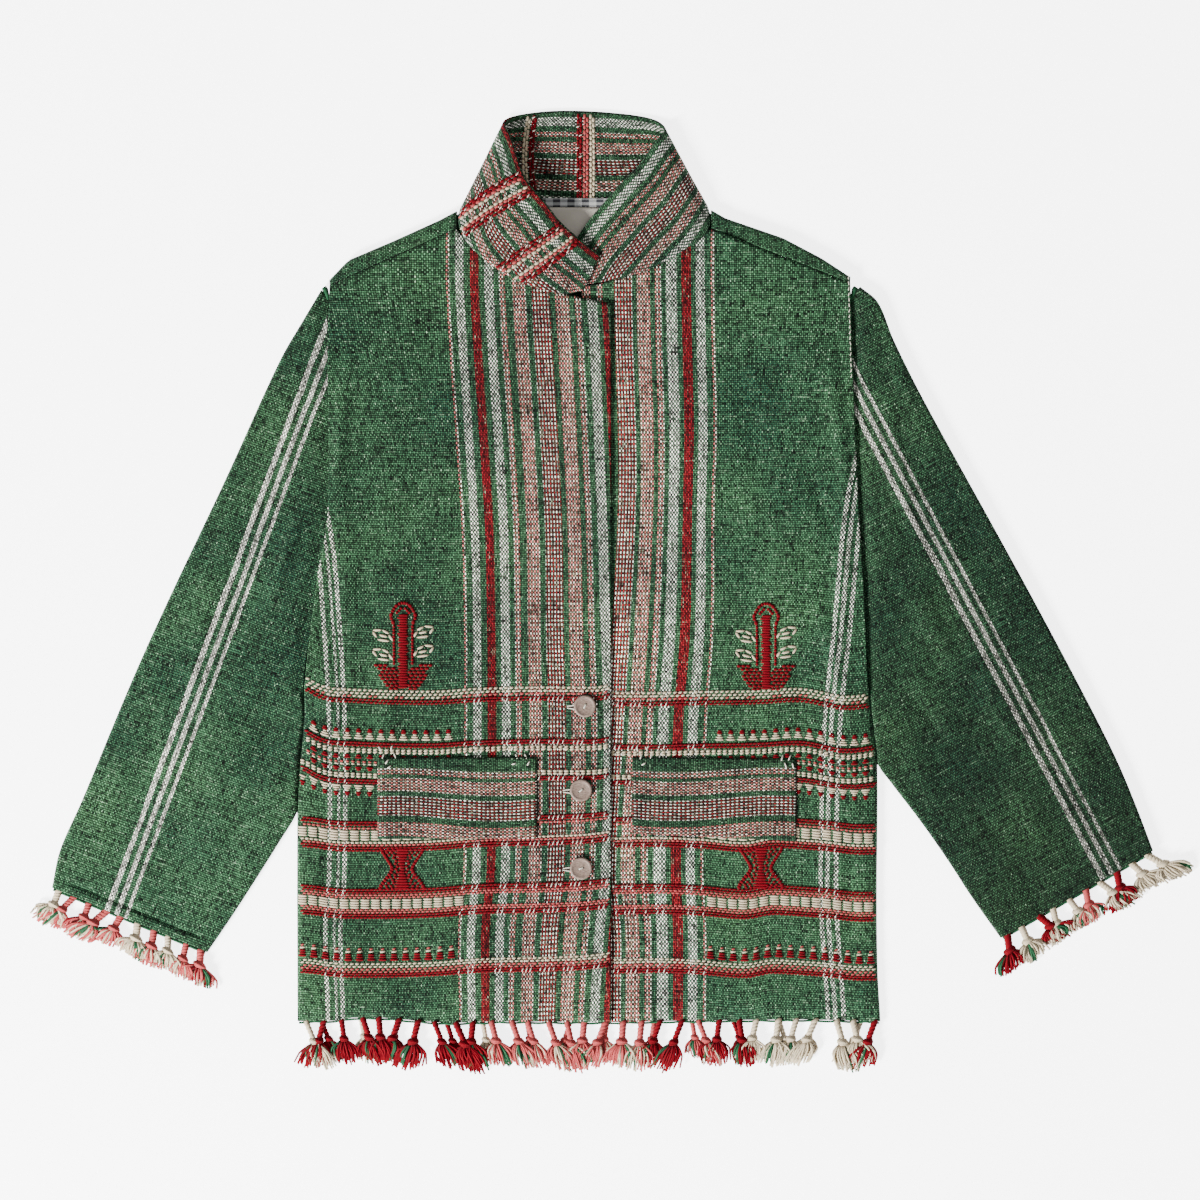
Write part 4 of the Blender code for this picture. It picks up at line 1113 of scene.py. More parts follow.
def collar_point(at, up, lift=0.0):
    """A place on the strip's middle, raised by lift off the side that shows, in metres."""
    seam = collar_edge("seam", at)
    top = collar_edge("top", at)
    belly = 1.2 * smoothstep((min(seam.z, top.z) - 6.0) / 3.0)
    point = seam.lerp(top, up)
    point.z += belly * 4 * up * (1 - up) + lift / MM
    return point * MM


def collar_ripple(point):
    """Unevenness of the collar, where it stands."""
    return ripple(point.x, point.y, 18 * MM, 0.35 * MM) * smoothstep((point.z / MM - 5) / 3)


def collar_map(at, up):
    seam = collar_edge("seam", at)
    top = collar_edge("top", at)
    crept = 7.0 * smoothstep((at / COLLAR_LENGTH - 0.27) / 0.08)
    return ((1 - up) * (top - seam).length + crept) * MM, at * MM


def make_collar():
    points, cloth = [], []
    for at in steps(0.0, COLLAR_LENGTH, 260):
        row = []
        for up in steps(0.0, 1.0, 34):
            point = collar_point(at, up)
            point.z += collar_ripple(point)
            row.append(point)
        points.append(row[::-1])
        cloth.append([collar_map(at, up) for up in steps(0.0, 1.0, 34)][::-1])
    return cloth_piece("cloth_collar", [(points, cloth)], WOOL["collar"], "collar",
                       shell=1.6 * MM)


collar, collar_area = make_collar()

# %% [markdown]
# ## Pocket flaps
#
# The flaps are cut with their stripes across the body. Each is a narrow pillow of two
# layers: its edges are turned in and pressed, so they curve down to the front.

# %% The flaps
FLAP_GAP = 0.4 * MM
FLAP_WALL = 1.8 * MM
FLAP_LONG, FLAP_TALL = 143, 73
PRESSED_EDGE = 0.7 * MM


def flap_spot(corners, across, up):
    """A place between the four corners of a flap."""
    corner = [Vector((row.x, row.y)) for row in corners]
    low = corner[0].lerp(corner[1], across)
    high = corner[3].lerp(corner[2], across)
    return low.lerp(high, up) * MM


def flap_top(corners, body, across, up):
    """A place on a flap's upper side, over the front that it lies on."""
    spot = flap_spot(corners, across, up)
    edge = min(across * FLAP_LONG, (1 - across) * FLAP_LONG, up * FLAP_TALL, (1 - up) * FLAP_TALL)
    pressed = PRESSED_EDGE * (1 - smoothstep(edge / 4.0))
    z = body(spot.x, spot.y) + FLAP_GAP + FLAP_WALL - pressed
    return Vector((spot.x, spot.y, z + ripple(spot.x, spot.y, 20 * MM, 0.25 * MM)))


def make_flap(which, body):
    corners = FLAP_CORNERS[which]
    points, cloth = [], []
    for up in steps(0.0, 1.0, 40):
        row, places = [], []
        for across in steps(0.0, 1.0, 76):
            point = flap_top(corners, body, across, up)
            point.z -= 0.6 * MM
            row.append(point)
            phase = 1.0 if which == "left" else 3.4
            sag = 3.0 * MM * math.sin(across * 5.0 + phase) * (1 - up * 0.4)
            places.append((corners[3].y * MM - point.y + sag, point.x))
        points.append(row)
        cloth.append(places)
    return cloth_piece("cloth_flap_" + which, [(points, cloth)], WOOL["flap"], "pocket_flap_" + which,
                       shell=1.1 * MM)


flap_left, flap_left_area = make_flap("left", left_top)
flap_right, flap_right_area = make_flap("right", right_top)

# %% [markdown]
# ## Raised yarns
#
# The red, cream and pink bands are extra weft: thick soft yarns laid in by hand, which
# float over the ground and dip under it every few threads. Painted bands would look
# printed, so each float is a small lozenge of its own. Thousands of them share one mesh.


# %% Yarn finishes
TWIST = 5200.0


def yarn(name, colour, dark):
    """Soft wool yarn, finely ribbed by its twist with painted shade in its grooves, with fibres and
    uneven dye.
    """
    made, shader, start = new_finish(name, roughness=0.92, sheen=0.02, specular=0.06)
    place, across, along = cloth_places(start)
    ply = (along * TWIST + across * TWIST).cosine() * 0.5 + 0.5
    fibre = place.stretched(1.0, 0.3).cloud(3000.0, 2.0)
    dye = place.cloud(70.0, 2.0)
    tone = (dye * 1.5 - 0.25 + (fibre - 0.5) * 0.7).clamped()
    # The dye is uneven at random, and the grooves of the twist get painted shade
    colours = tone.blend(dark, colour).tinted(0.72 + ply * 0.28)
    finish_with(shader, start, colours, ply * 0.5 + fibre * 0.5, strength=0.5, depth=0.25 * MM)
    return made


YARNS = {
    "red": yarn("yarn_red", (0.190, 0.0008, 0.006, 1.0), (0.040, 0.0003, 0.002, 1.0)),
    "cream": yarn("yarn_cream", (0.60, 0.51, 0.36, 1.0), (0.28, 0.22, 0.14, 1.0)),
    "pink": yarn("yarn_pink", (0.46, 0.080, 0.075, 1.0), (0.19, 0.022, 0.024, 1.0)),
    "green": yarn("yarn_green", (0.022, 0.095, 0.040, 1.0), (0.006, 0.03, 0.014, 1.0)),
    "white": yarn("yarn_white", (0.74, 0.71, 0.60, 1.0), (0.38, 0.36, 0.28, 1.0)),
    "dark": yarn("yarn_dark", (0.045, 0.030, 0.024, 1.0), (0.012, 0.010, 0.008, 1.0)),
}
print("yarn finishes", len(YARNS))


# %% The class that collects yarns
class Yarns:
    """Collects floats and cords of several colours into one mesh."""

    def __init__(self, name):
        self.name = name
        self.vertices, self.faces, self.paint, self.places = [], [], [], []
        self.colours = []

    def face(self, corners, colour, places):
        """One face, with its colour and its places on the map."""
        if colour not in self.colours:
            self.colours.append(colour)
        self.faces.append(corners)
        self.paint.append(self.colours.index(colour))
        self.places.append(places)

    def tube(self, points, radii, colour, sides=5, flat=1.0, up=Vector((0, 0, 1))):
        """A cord through the points, flattened by flat, closed at both ends."""
        rings = []
        run = 0.0
        for k, point in enumerate(points):
            ahead = points[min(k + 1, len(points) - 1)] - points[max(k - 1, 0)]
            side = ahead.cross(up)
            side = side.normalized() if side.length > 1e-9 else Vector((1, 0, 0))
            rise = side.cross(ahead).normalized()
            if k:
                run += (point - points[k - 1]).length
            ring = []
            for j in range(sides):
                turn = 2 * math.pi * j / sides
                offset = side * (math.cos(turn) * radii[k])
                offset = offset + rise * (math.sin(turn) * radii[k] * flat)
                ring.append((len(self.vertices), (radii[k] * turn, run)))
                self.vertices.append(point + offset)
            rings.append(ring)
        for low, high in zip(rings, rings[1:]):
            for j in range(sides):
                n = (j + 1) % sides
                corners = (low[j], low[n], high[n], high[j])
                self.face([c[0] for c in corners], colour, [c[1] for c in corners])
        for ring in (rings[0][::-1], rings[-1]):
            self.face([c[0] for c in ring], colour, [c[1] for c in ring])

    def made(self, node, slot):
        """The mesh of all that was collected, in place of a solid where it has one."""
        mesh = bpy.data.meshes.new(self.name)
        mesh.from_pydata(self.vertices, [], self.faces)
        layer = mesh.uv_layers.new(name="cloth")
        layer.data.foreach_set("uv", [c for face in self.places for place in face for c in place])
        mesh.polygons.foreach_set("material_index", self.paint)
        for colour in self.colours:
            mesh.materials.append(YARNS[colour])
        mesh.shade_smooth()
        piece = bpy.data.objects.new(self.name, mesh)
        bpy.context.collection.objects.link(piece)
        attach(piece, "root")
        if node:
            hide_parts(node)
        print(self.name, sum(len(f) - 2 for f in self.faces), "triangles")
        return piece


# %% [markdown]
# Each kind of row of the bands: how thick its yarn shows, how far apart its floats start,
# how long each one is, how it slants, its colour, where on the body it runs, and the
# heights on the garment at which such a row lies.

# %% Bands
FLOAT_KINDS = table(
    "tall pitch long slant colour zone heights",
    (2.3, 4.7, 3.9, 22, "cream", "all", (-88.7,)),
    (2.3, 4.7, 4.0, 22, "cream", "all", (-91.5,)),
    (2.2, 4.7, 3.9, 22, "pink", "all", (-94.2,)),
    (2.3, 3.9, 4.2, 14, "red", "all", (-97.3, -99.7)),
    (2.2, 10.1, 3.4, 0, "red", "side", (-124.3,)),
    (2.4, 10.1, 5.0, 0, "red", "side", (-125.9, -180.6)),
    (1.9, 10.1, 3.4, 0, "cream", "side", (-127.9, -178.4)),
    (1.9, 10.1, 6.2, 0, "cream", "side", (-129.9, -176.5)),
    (2.0, 10.1, 8.4, 0, "cream", "side", (-132.0, -174.5)),
    (2.4, 3.7, 4.6, 14, "red", "all", (-136.1, -138.5)),
    (2.5, 5.05, 4.2, 24, "cream", "all", (-141.9, -144.1)),
    (2.3, 10.1, 3.8, 0, "red", "side", (-147.6, -160.4)),
    (2.5, 10.1, 6.2, 0, "red", "side", (-149.4, -158.6)),
    (1.9, 5.05, 2.8, 0, "pink", "side", (-153.3,)),
    (1.9, 5.05, 2.8, 0, "cream", "side", (-155.4,)),
    (2.5, 5.05, 4.3, 8, "cream", "all", (-164.0, -166.2)),
    (2.3, 3.7, 4.6, 14, "red", "all", (-169.4, -171.7, -206.2, -208.6, -229.3, -231.7, -267.0,
     -269.4, -289.7, -292.1, -342.8, -345.0)),
    (2.2, 10.1, 3.2, 0, "red", "side", (-182.3,)),
    (2.1, 4.1, 3.9, 10, "pink", "all", (-211.7, -226.9)),
    (2.4, 9.4, 8.4, 0, "cream", "side", (-214.6, -216.9, -219.2, -221.6)),
    (2.2, 4.1, 3.9, 10, "cream", "all", (-224.6,)),
    (2.0, 4.1, 3.9, 10, "pink", "all", (-271.8, -273.9, -285.3, -287.4)),
    (2.3, 9.4, 8.4, 0, "cream", "side", (-276.4, -278.6, -280.8, -283.0)),
    (1.8, 10.3, 3.6, 20, "pink", "side", (-320.3,)),
    (2.0, 10.3, 5.8, 12, "cream", "side", (-322.7,)),
    (2.4, 10.3, 5.6, 0, "red", "side", (-325.4,)),
    (2.4, 10.3, 6.2, 0, "red", "side", (-327.6,)),
    (2.5, 10.3, 7.6, 0, "red", "side", (-330.0,)),
    (2.1, 4.7, 4.0, 16, "cream", "all", (-333.6, -336.0)),
    (2.1, 4.7, 4.0, 16, "pink", "all", (-338.5,)),
    (2.0, 4.7, 4.0, 16, "pink", "all", (-340.9,)),
)
BANDS = table("y tall pitch long slant colour zone",
              *sorted(((y, *kind[:6]) for kind in FLOAT_KINDS for y in kind.heights), reverse=True))
SIDE_ZONES = {"left": (-275.5, -129.5), "right": (95.0, 247.0)}
BAND_SPANS = {"left": (-276.0, 6.4), "right": (-2.0, 248.0)}
print("rows of floats", len(BANDS))

# %% Laying the floats
FLOAT_PROFILE = ((-1.0, 0.25), (-0.72, 0.82), (0.0, 1.0), (0.72, 0.82), (1.0, 0.25))


def unwave(rows, x, y):
    """Where a yarn of this own height lies at a place across the garment."""
    lies = y
    for _ in range(3):
        lies = y + wave_of(rows, x, lies)
    return lies


def add_float(yarns, x, y, row, surface, rows, seed):
    """One float of a row: a lozenge that rises off the ground and dips back into it."""
    half = row.long / 2 * (0.86 if row.slant else 1.0) * MM
    slant = math.tan(math.radians(row.slant))
    thick = row.tall / 2 * MM * (0.95 + 0.1 * math.sin(seed * 1.9))
    points, radii = [], []
    for share, girth in FLOAT_PROFILE:
        px = x + share * half
        py = unwave(rows, px, y) + share * min(half, 2.2 * MM) * slant
        lift = (0.35 * MM if abs(share) < 0.9 else -0.15 * MM)
        points.append(Vector((px, py, surface(px, py) + lift)))
        radii.append(thick * girth)
    yarns.tube(points, radii, row.colour, sides=5, flat=0.5)


def in_flap(which, x, y):
    """Whether a flap hides a place."""
    corners = FLAP_CORNERS[which]
    across = (corners[0].x + 3) * MM < x < (corners[1].x - 3) * MM
    return across and (corners[1].y + 4) * MM < y < (corners[2].y - 4) * MM


def weave_bands(which, surface, rows):
    """All floats of one front, from its side seam to the closure, but not below its flap."""
    yarns = Yarns("bands_" + which)
    low, high = BAND_SPANS[which]
    zone = SIDE_ZONES[which]
    side = LEFT_SIDE if which == "left" else RIGHT_SIDE
    for number, row in enumerate(BANDS):
        count = int((high - low) / row.pitch) + 1
        shift = 0.5 * (number % 2) if row.pitch < 5 else 0.0
        for k in range(count):
            x = (low + 5.4 + (k + shift) * row.pitch) * MM
            if row.zone == "side" and not zone[0] * MM < x < zone[1] * MM:
                continue
            colour = row.colour
            # One pink row turns to cream beside the seam
            if -93.2 > row.y > -97.0 and zone[0] * MM < x < zone[1] * MM:
                colour = "cream" if math.sin(k * 1.3) > -0.4 else "pink"
            y = row.y * MM
            lies = unwave(rows, x, y)
            edge = x_at(side, lies)
            reach = row.long / 2 * MM
            if which == "left" and not edge + reach * 0.7 < x < PLACKET_EDGE_X - reach * 0.8:
                continue
            if which == "right" and not PLACKET_EDGE_X + 0.5 * MM < x < edge - reach * 0.7:
                continue
            if in_flap(which, x, lies):
                continue
            add_float(yarns, x, y, row._replace(colour=colour), surface, rows, k + number)
    return yarns


bands_left = weave_bands("left", left_top, LEFT_WAVE)
bands_right = weave_bands("right", right_top, RIGHT_WAVE)

# %% [markdown]
# Where a striped warp crosses a red band, a few of its pale threads jump over the red as
# short slanting ticks.

# %% Ticks over the red bands
RED_LINES = (-98.8, -137.3, -170.5, -207.4, -230.5, -268.2, -290.9, -343.9)
TICK_PITCH = 4.2


def x_of_run(mapped, run, y):
    """The place across the garment where the warp has a run, by halving."""
    low, high = -0.30, 0.27
    for _ in range(24):
        middle = (low + high) / 2
        if mapped(middle, y)[0] < run:
            low = middle
        else:
            high = middle
    return (low + high) / 2


def add_ticks(yarns, stripes, mapped, surface, rows, which):
    """The pale ticks of one front, where its stripes cross its red bands."""
    side = LEFT_SIDE if which == "left" else RIGHT_SIDE
    for line_number, line in enumerate(RED_LINES):
        for stripe in stripes:
            if stripe.kind == "red":
                continue
            count = max(1, round((stripe.end - stripe.start) / TICK_PITCH))
            for k in range(count):
                run = (stripe.start + (k + 0.5) * (stripe.end - stripe.start) / count) * MM
                x = x_of_run(mapped, run, line * MM)
                y = unwave(rows, x, line * MM)
                x = x_of_run(mapped, run, y)
                if which == "left" and not x_at(side, y) + 2 * MM < x < PLACKET_EDGE_X - 2 * MM:
                    continue
                if which == "right" and not PLACKET_EDGE_X + 1.5 * MM < x < x_at(side, y) - 2 * MM:
                    continue
                if in_flap(which, x, y):
                    continue
                reach = (1.3 + 0.9 * abs(math.sin(line_number * 3.1 + k * 2.3))) * MM
                points, radii = [], []
                for share, girth in ((-1.0, 0.4), (0.0, 1.0), (1.0, 0.4)):
                    px, py = x + share * reach * 0.45, y + share * reach * 1.1
                    lift = (1.15 if share == 0 else 0.6) * MM
                    points.append(Vector((px, py, surface(px, py) + lift)))
                    radii.append(0.62 * MM * girth)
                yarns.tube(points, radii, "white", sides=5, flat=0.6)


add_ticks(bands_left, LEFT_STRIPES, left_map, left_top, LEFT_WAVE, "left")
add_ticks(bands_right, RIGHT_STRIPES, right_map, right_top, RIGHT_WAVE, "right")
print("floats' faces so far", len(bands_left.faces) + len(bands_right.faces))

# %% [markdown]
# ## Motifs
#
# Above the bands stands a small tree with two pairs of leaves on each front, and between
# the bands an hourglass: old charted figures of this kind of weaving. Each is a short
# chart of floats on one side of its axis, and the other side mirrors it.

# %% Charts
HEAD_CHAIN = table(
    "x y",
    (0.0, 38.0), (4.6, 36.6), (7.6, 33.4), (10.0, 29.2), (11.6, 24.8), (9.6, 22.6), (8.6, 18.0),
)
LEAF = table(
    "x y long slant colour",
    (11.0, -1.0, 6.6, 55, "cream"), (15.6, 4.4, 6.6, 27, "cream"), (23.2, 6.0, 7.8, -3, "cream"),
    (25.6, 2.2, 6.2, 55, "cream"), (17.6, -3.2, 10.6, 8, "cream"), (17.8, 0.8, 7.4, 14, "cream"),
)
ARROW = table(
    "y from_x to_x",
    (-18.4, 14.6, 24.4), (-21.4, 5.6, 23.0), (-24.4, 4.6, 21.4), (-27.4, 4.6, 19.6), (-30.4, 4.6, 17.6),
    (-33.4, 4.6, 15.4), (-36.4, 4.4, 13.4), (-39.2, 3.8, 11.4),
)
SHAFT_TOP, SHAFT_LOW = 26.4, -24.6
HOURGLASS = table(
    "y core half",
    (17.4, 8.4, 18.6), (14.9, 8.0, 17.6), (12.4, 7.2, 15.8), (9.9, 6.2, 14.2), (7.4, 5.2, 12.6),
    (4.9, 4.2, 11.0), (2.4, 3.6, 9.6), (-0.1, 3.2, 9.0), (-2.6, 3.6, 9.8), (-5.1, 4.6, 11.4),
    (-7.6, 5.8, 13.4), (-10.1, 7.0, 15.4), (-12.6, 8.0, 17.2), (-15.1, 9.0, 18.8), (-17.4, 9.6, 19.6),
)
print("rows of the hourglass", len(HOURGLASS))

# %% Trees and hourglasses
CHART_PROFILE = ((-1.0, 0.3), (-0.6, 0.85), (0.0, 1.0), (0.6, 0.85), (1.0, 0.3))


def chart_float(yarns, surface, x, y, long, slant, colour, tall=2.2):
    """One float of a figure, about a middle in millimetres."""
    turn = math.radians(slant)
    points, radii = [], []
    for share, girth in CHART_PROFILE:
        px = (x + share * long / 2 * math.cos(turn)) * MM
        py = (y + share * long / 2 * math.sin(turn)) * MM
        lift = 0.4 * MM if abs(share) < 0.9 else -0.1 * MM
        points.append(Vector((px, py, surface(px, py) + lift)))
        radii.append(tall / 2 * MM * girth)
    yarns.tube(points, radii, colour, sides=6, flat=0.5)


def add_chain(yarns, surface, x, y, first, last, colour, link=3.2, tall=2.4):
    """Floats in a row from one place of the chart to another."""
    run = math.hypot(last[0] - first[0], last[1] - first[1])
    slant = math.degrees(math.atan2(last[1] - first[1], last[0] - first[0]))
    count = max(1, round(run / link))
    for k in range(count):
        share = (k + 0.5) / count
        chart_float(yarns, surface, x + first[0] + (last[0] - first[0]) * share,
                    y + first[1] + (last[1] - first[1]) * share, run / count * 0.98, slant, colour, tall)


def add_tree(yarns, surface, x, y):
    """A crown, two pairs of leaves, a pointed foot and the shaft between its two sides."""
    for side in (-1, 1):
        for a, b in zip(HEAD_CHAIN, HEAD_CHAIN[1:]):
            add_chain(yarns, surface, x, y, (a.x * side, a.y), (b.x * side, b.y), "red", tall=3.3)
        add_chain(yarns, surface, x, y, (8.4 * side, 18.0), (8.2 * side, -18.0), "red",
                  link=3.0, tall=2.7)
        add_chain(yarns, surface, x, y, (1.0 * side, 33.6), (6.4 * side, 28.0), "red",
                  link=3.0, tall=2.9)
        for pair in (0.0, -17.2):
            for row in LEAF:
                drop = -3.2 if side < 0 else 0.0
                chart_float(yarns, surface, x + side * row.x, y + 10.4 + pair + row.y + drop,
                            row.long, row.slant * side, row.colour, 2.3)
        for number, row in enumerate(ARROW):
            at = row.from_x + 1.6 * (number % 2)
            while at < row.to_x:
                chart_float(yarns, surface, x + side * (at + 1.4), y + row.y, 3.9, 6 * side,
                            "red", 2.7)
                at += 4.2
    at = SHAFT_TOP
    while at > SHAFT_LOW - 14.0:
        wide = (9.0 if at > SHAFT_LOW else 10.0) + 1.1 * math.sin(at * 1.9)
        chart_float(yarns, surface, x + 0.5 * math.sin(at), y + at, wide,
                    4 * math.sin(at * 1.3), "red", 2.6)
        at -= 2.3


def add_hourglass(yarns, surface, x, y):
    """Rows with a solid core, slanting floats beside it and a bolder one at each end."""
    for number, row in enumerate(HOURGLASS):
        chart_float(yarns, surface, x + 0.4 * math.sin(number * 2.1), y + row.y,
                    1.7 * row.core, 0, "red", 2.6)
        for side in (-1, 1):
            at = row.core * 0.8 + 1.2 + 1.5 * (number % 2)
            while at < row.half - 3.0:
                chart_float(yarns, surface, x + side * at, y + row.y, 3.0, 24 * side, "red", 2.5)
                at += 4.4
            chart_float(yarns, surface, x + side * row.half, y + row.y, 3.8, 40 * side, "red", 3.0)


# %% The figures on the fronts
add_tree(bands_left, left_top, -180.0, -47.0)
add_hourglass(bands_left, left_top, -181.0, -248.6)
add_tree(bands_right, right_top, 146.3, -47.8)
add_hourglass(bands_right, right_top, 141.5, -247.6)
chart_float(bands_left, left_top, -100.4, -250.8, 5.4, 20, "red", 3.2)
chart_float(bands_left, left_top, -98.4, -249.0, 4.0, 60, "red", 3.0)
weft_left = bands_left.made(None, "tassel_red")
weft_right = bands_right.made(None, "tassel_red")

# %% [markdown]
# ## Bands on the collar
#
# The collar was cut across two pairs of bands. Each line of floats runs from the seam to
# the top edge, between the two places where it meets them.

# %% Collar bands
COLLAR_BANDS = table(
    "seam_x seam_y top_x top_y colour",
    (-126.5, 340.7, -75.2, 376.7, "red"), (-126.9, 338.4, -74.0, 374.2, "red"),
    (-127.0, 336.2, -72.4, 371.6, "pink"), (-127.4, 333.6, -70.8, 369.6, "cream"),
    (-127.0, 326.6, -66.6, 364.6, "cream"), (-127.2, 324.4, -65.0, 362.6, "pink"),
    (-126.9, 322.0, -63.4, 360.4, "red"), (-126.0, 319.4, -61.8, 358.0, "red"),
    (-94.2, 295.0, -37.2, 332.4, "red"), (-92.0, 293.2, -35.4, 330.4, "red"),
    (-89.4, 291.0, -33.6, 328.4, "pink"), (-87.0, 289.2, -31.8, 326.8, "cream"),
    (-79.2, 283.8, -26.4, 320.6, "cream"), (-76.8, 282.2, -24.8, 318.8, "pink"),
    (-73.6, 280.0, -22.6, 316.2, "red"), (-71.2, 278.6, -21.0, 314.4, "red"),
    (-67.8, 350.0, -67.4, 431.0, "cream"), (-65.4, 350.0, -65.0, 431.2, "cream"),
    (-62.2, 350.0, -61.8, 431.6, "red"), (-59.8, 350.0, -59.4, 431.8, "red"),
    (-22.8, 350.0, -22.8, 433.0, "red"), (-20.2, 350.0, -20.2, 433.0, "red"),
    (-17.2, 350.0, -17.2, 433.0, "pink"), (-14.8, 350.0, -14.8, 433.0, "pink"),
    (-11.8, 350.0, -11.8, 432.8, "cream"), (-9.4, 350.0, -9.4, 432.6, "cream"),
)
COLLAR_PROFILE = ((-1.0, 0.3), (-0.65, 0.85), (0.0, 1.0), (0.65, 0.85), (1.0, 0.3))


def nearest_station(kind, x, y, low, high):
    """The length along the collar at which one of its edges is nearest to a place."""
    stations = steps(low, high, 400)
    return min(stations, key=lambda at: (collar_edge(kind, at).xy - Vector((x, y))).length)


def make_collar_bands():
    yarns = Yarns("bands_collar")
    middle = COLLAR_LENGTH * 0.5
    for number, row in enumerate(COLLAR_BANDS):
        on_back = row.top_y > 430.0
        low, high = (middle * 0.45, middle * 1.5) if on_back else (0.0, middle * 0.75)
        first = nearest_station("seam", row.seam_x, row.seam_y, low, high)
        last = nearest_station("top", row.top_x, row.top_y, low, high)
        length = math.hypot(row.top_x - row.seam_x, row.top_y - row.seam_y)
        count = int(length / 4.8)
        for k in range(count):
            middle_share = (k + 0.5 + 0.4 * (number % 2)) / (count + 0.5)
            half = 0.5 * (0.95 if row.colour == "red" else 0.86) / count
            if middle_share + half > 0.985:
                continue
            points, radii = [], []
            for share, girth in COLLAR_PROFILE:
                up = middle_share + share * half
                lift = SHELL * 0.62 + (0.35 * MM if abs(share) < 0.9 else -0.1 * MM)
                point = collar_point(first + (last - first) * up, up, lift)
                point.z += collar_ripple(point)
                points.append(point)
                radii.append(1.42 * MM * girth)
            yarns.tube(points, radii, row.colour, sides=5, flat=0.5)
            if row.colour == "red" and k % 4 == number % 3:
                tick = points[2] + Vector((0, 0, 0.75 * MM))
                way = Vector((1.5, 0.8, 0.0) if on_back else (1.2, 1.6, 0.0)) * MM
                yarns.tube([tick - way, tick, tick + way], [0.25 * MM, 0.6 * MM, 0.25 * MM],
                           "white", sides=5, flat=0.6)
    return yarns.made(None, "tassel_red")


weft_collar = make_collar_bands()

# %% [markdown]
# ## Neck tape and label
#
# A checked cotton tape covers the neck seam, and a plain cotton label hangs from it. The
# label carries nothing. Both are painted dark, with the shade that they lie in under the
# collar.


# %% Tape and label
def threads(across, along, pitch):
    """How far a place is from the middles of the threads, both ways."""
    return ((across / pitch).fraction() - 0.5).size() + ((along / pitch).fraction() - 0.5).size()


def checked_tape():
    made, shader, start = new_finish("check_tape", roughness=0.9)
    place, across, along = cloth_places(start)
    columns = ((across / (13.0 * MM)).fraction() - 0.5) * 400.0
    rows = ((along / (5.2 * MM)).fraction() - 0.5) * 400.0
    tone = columns.clamped() * 0.5 + rows.clamped() * 0.5
    thread = threads(across, along, 0.5 * MM)
    # The pale checks are painted grey, as the shade under the collar
    colour = tone.blend((0.34, 0.34, 0.33, 1.0), (0.012, 0.012, 0.016, 1.0))
    # Painted shade between the threads
    colour = colour.tinted(1.1 - thread * 0.4)
    finish_with(shader, start, colour, thread, strength=0.3, depth=0.1 * MM)
    return made


def plain_cotton():
    made, shader, start = new_finish("label_cotton", roughness=0.85)
    place, across, along = cloth_places(start)
    thread = threads(across, along, 0.45 * MM)
    stain = place.cloud(60.0, 3.0)
    # Both tones are painted dark, as the shade under the collar, and the cloud mixes them at random
    colour = stain.blend((0.30, 0.27, 0.22, 1.0), (0.42, 0.39, 0.33, 1.0))
    # Painted shade between the threads
    colour = colour.tinted(1.08 - thread * 0.25)
    finish_with(shader, start, colour, thread, strength=0.3, depth=0.1 * MM)
    return made


def strip_piece(name, node, finish, left, right, low, high):
    """A flat strip that lies 0.3 mm over the back."""
    z = WALL + 0.3 * MM + 0.4 * MM
    points, cloth = [], []
    for y in steps(low, high, 12):
        row = [Vector((x * MM, y * MM, z + ripple(x * MM, y * MM, 9 * MM, 0.12 * MM)))
               for x in steps(left, right, 48)]
        points.append(row)
        cloth.append([(p.x, p.y) for p in row])
    return cloth_piece(name, [(points, cloth)], finish, node, shell=0.7 * MM)


tape, tape_area = strip_piece("tape", "neck_tape", checked_tape(),
                              -75.0, 42.0, 347.0, 354.6)
label, label_area = strip_piece("label", "neck_label", plain_cotton(),
                                -51.8, -1.4, 316.0, 346.4)

# %% [markdown]
# ## Buttons
#
# The buttons are turned discs of dull horn with a low rim and two holes. A profile of
# radius and height is swept round, the holes are drilled with a Boolean, and a thread is
# laid through them.

# %% Buttons
BUTTON_RADIUS = 10.0 * MM
BUTTON_THICKNESS = 2.6 * MM
BUTTON_SIDES = 72
HOLE_RADIUS = 0.95 * MM
HOLE_SHIFT = 2.1
PROFILE = table(
    "r z",
    (0.80, 0.0), (0.94, 0.12), (0.99, 0.35), (1.0, 0.6), (0.98, 0.82), (0.93, 0.95),
    (0.87, 1.0), (0.80, 0.97), (0.74, 0.86), (0.68, 0.78), (0.4, 0.73),
)


def horn():
    made, shader, start = new_finish("horn", roughness=0.5, specular=0.3)
    place = start.node("TexCoord", {}, {}, out=3)
    grain = place.stretched(1.0, 3.5, 1.0).cloud(420.0, 4.0)
    spots = place.cloud(1500.0, 2.0)
    tone = ((grain - 0.3) * 1.8 + (spots - 0.5) * 0.6).clamped()
    colour = tone.blend((0.075, 0.050, 0.038, 1.0), (0.235, 0.170, 0.135, 1.0))
    finish_with(shader, start, colour, grain, strength=0.25, depth=0.2 * MM)
    rough = tone * 0.2 + 0.42
    start.tree.links.new(rough.socket, shader.inputs["Roughness"])
    return made


HORN = horn()


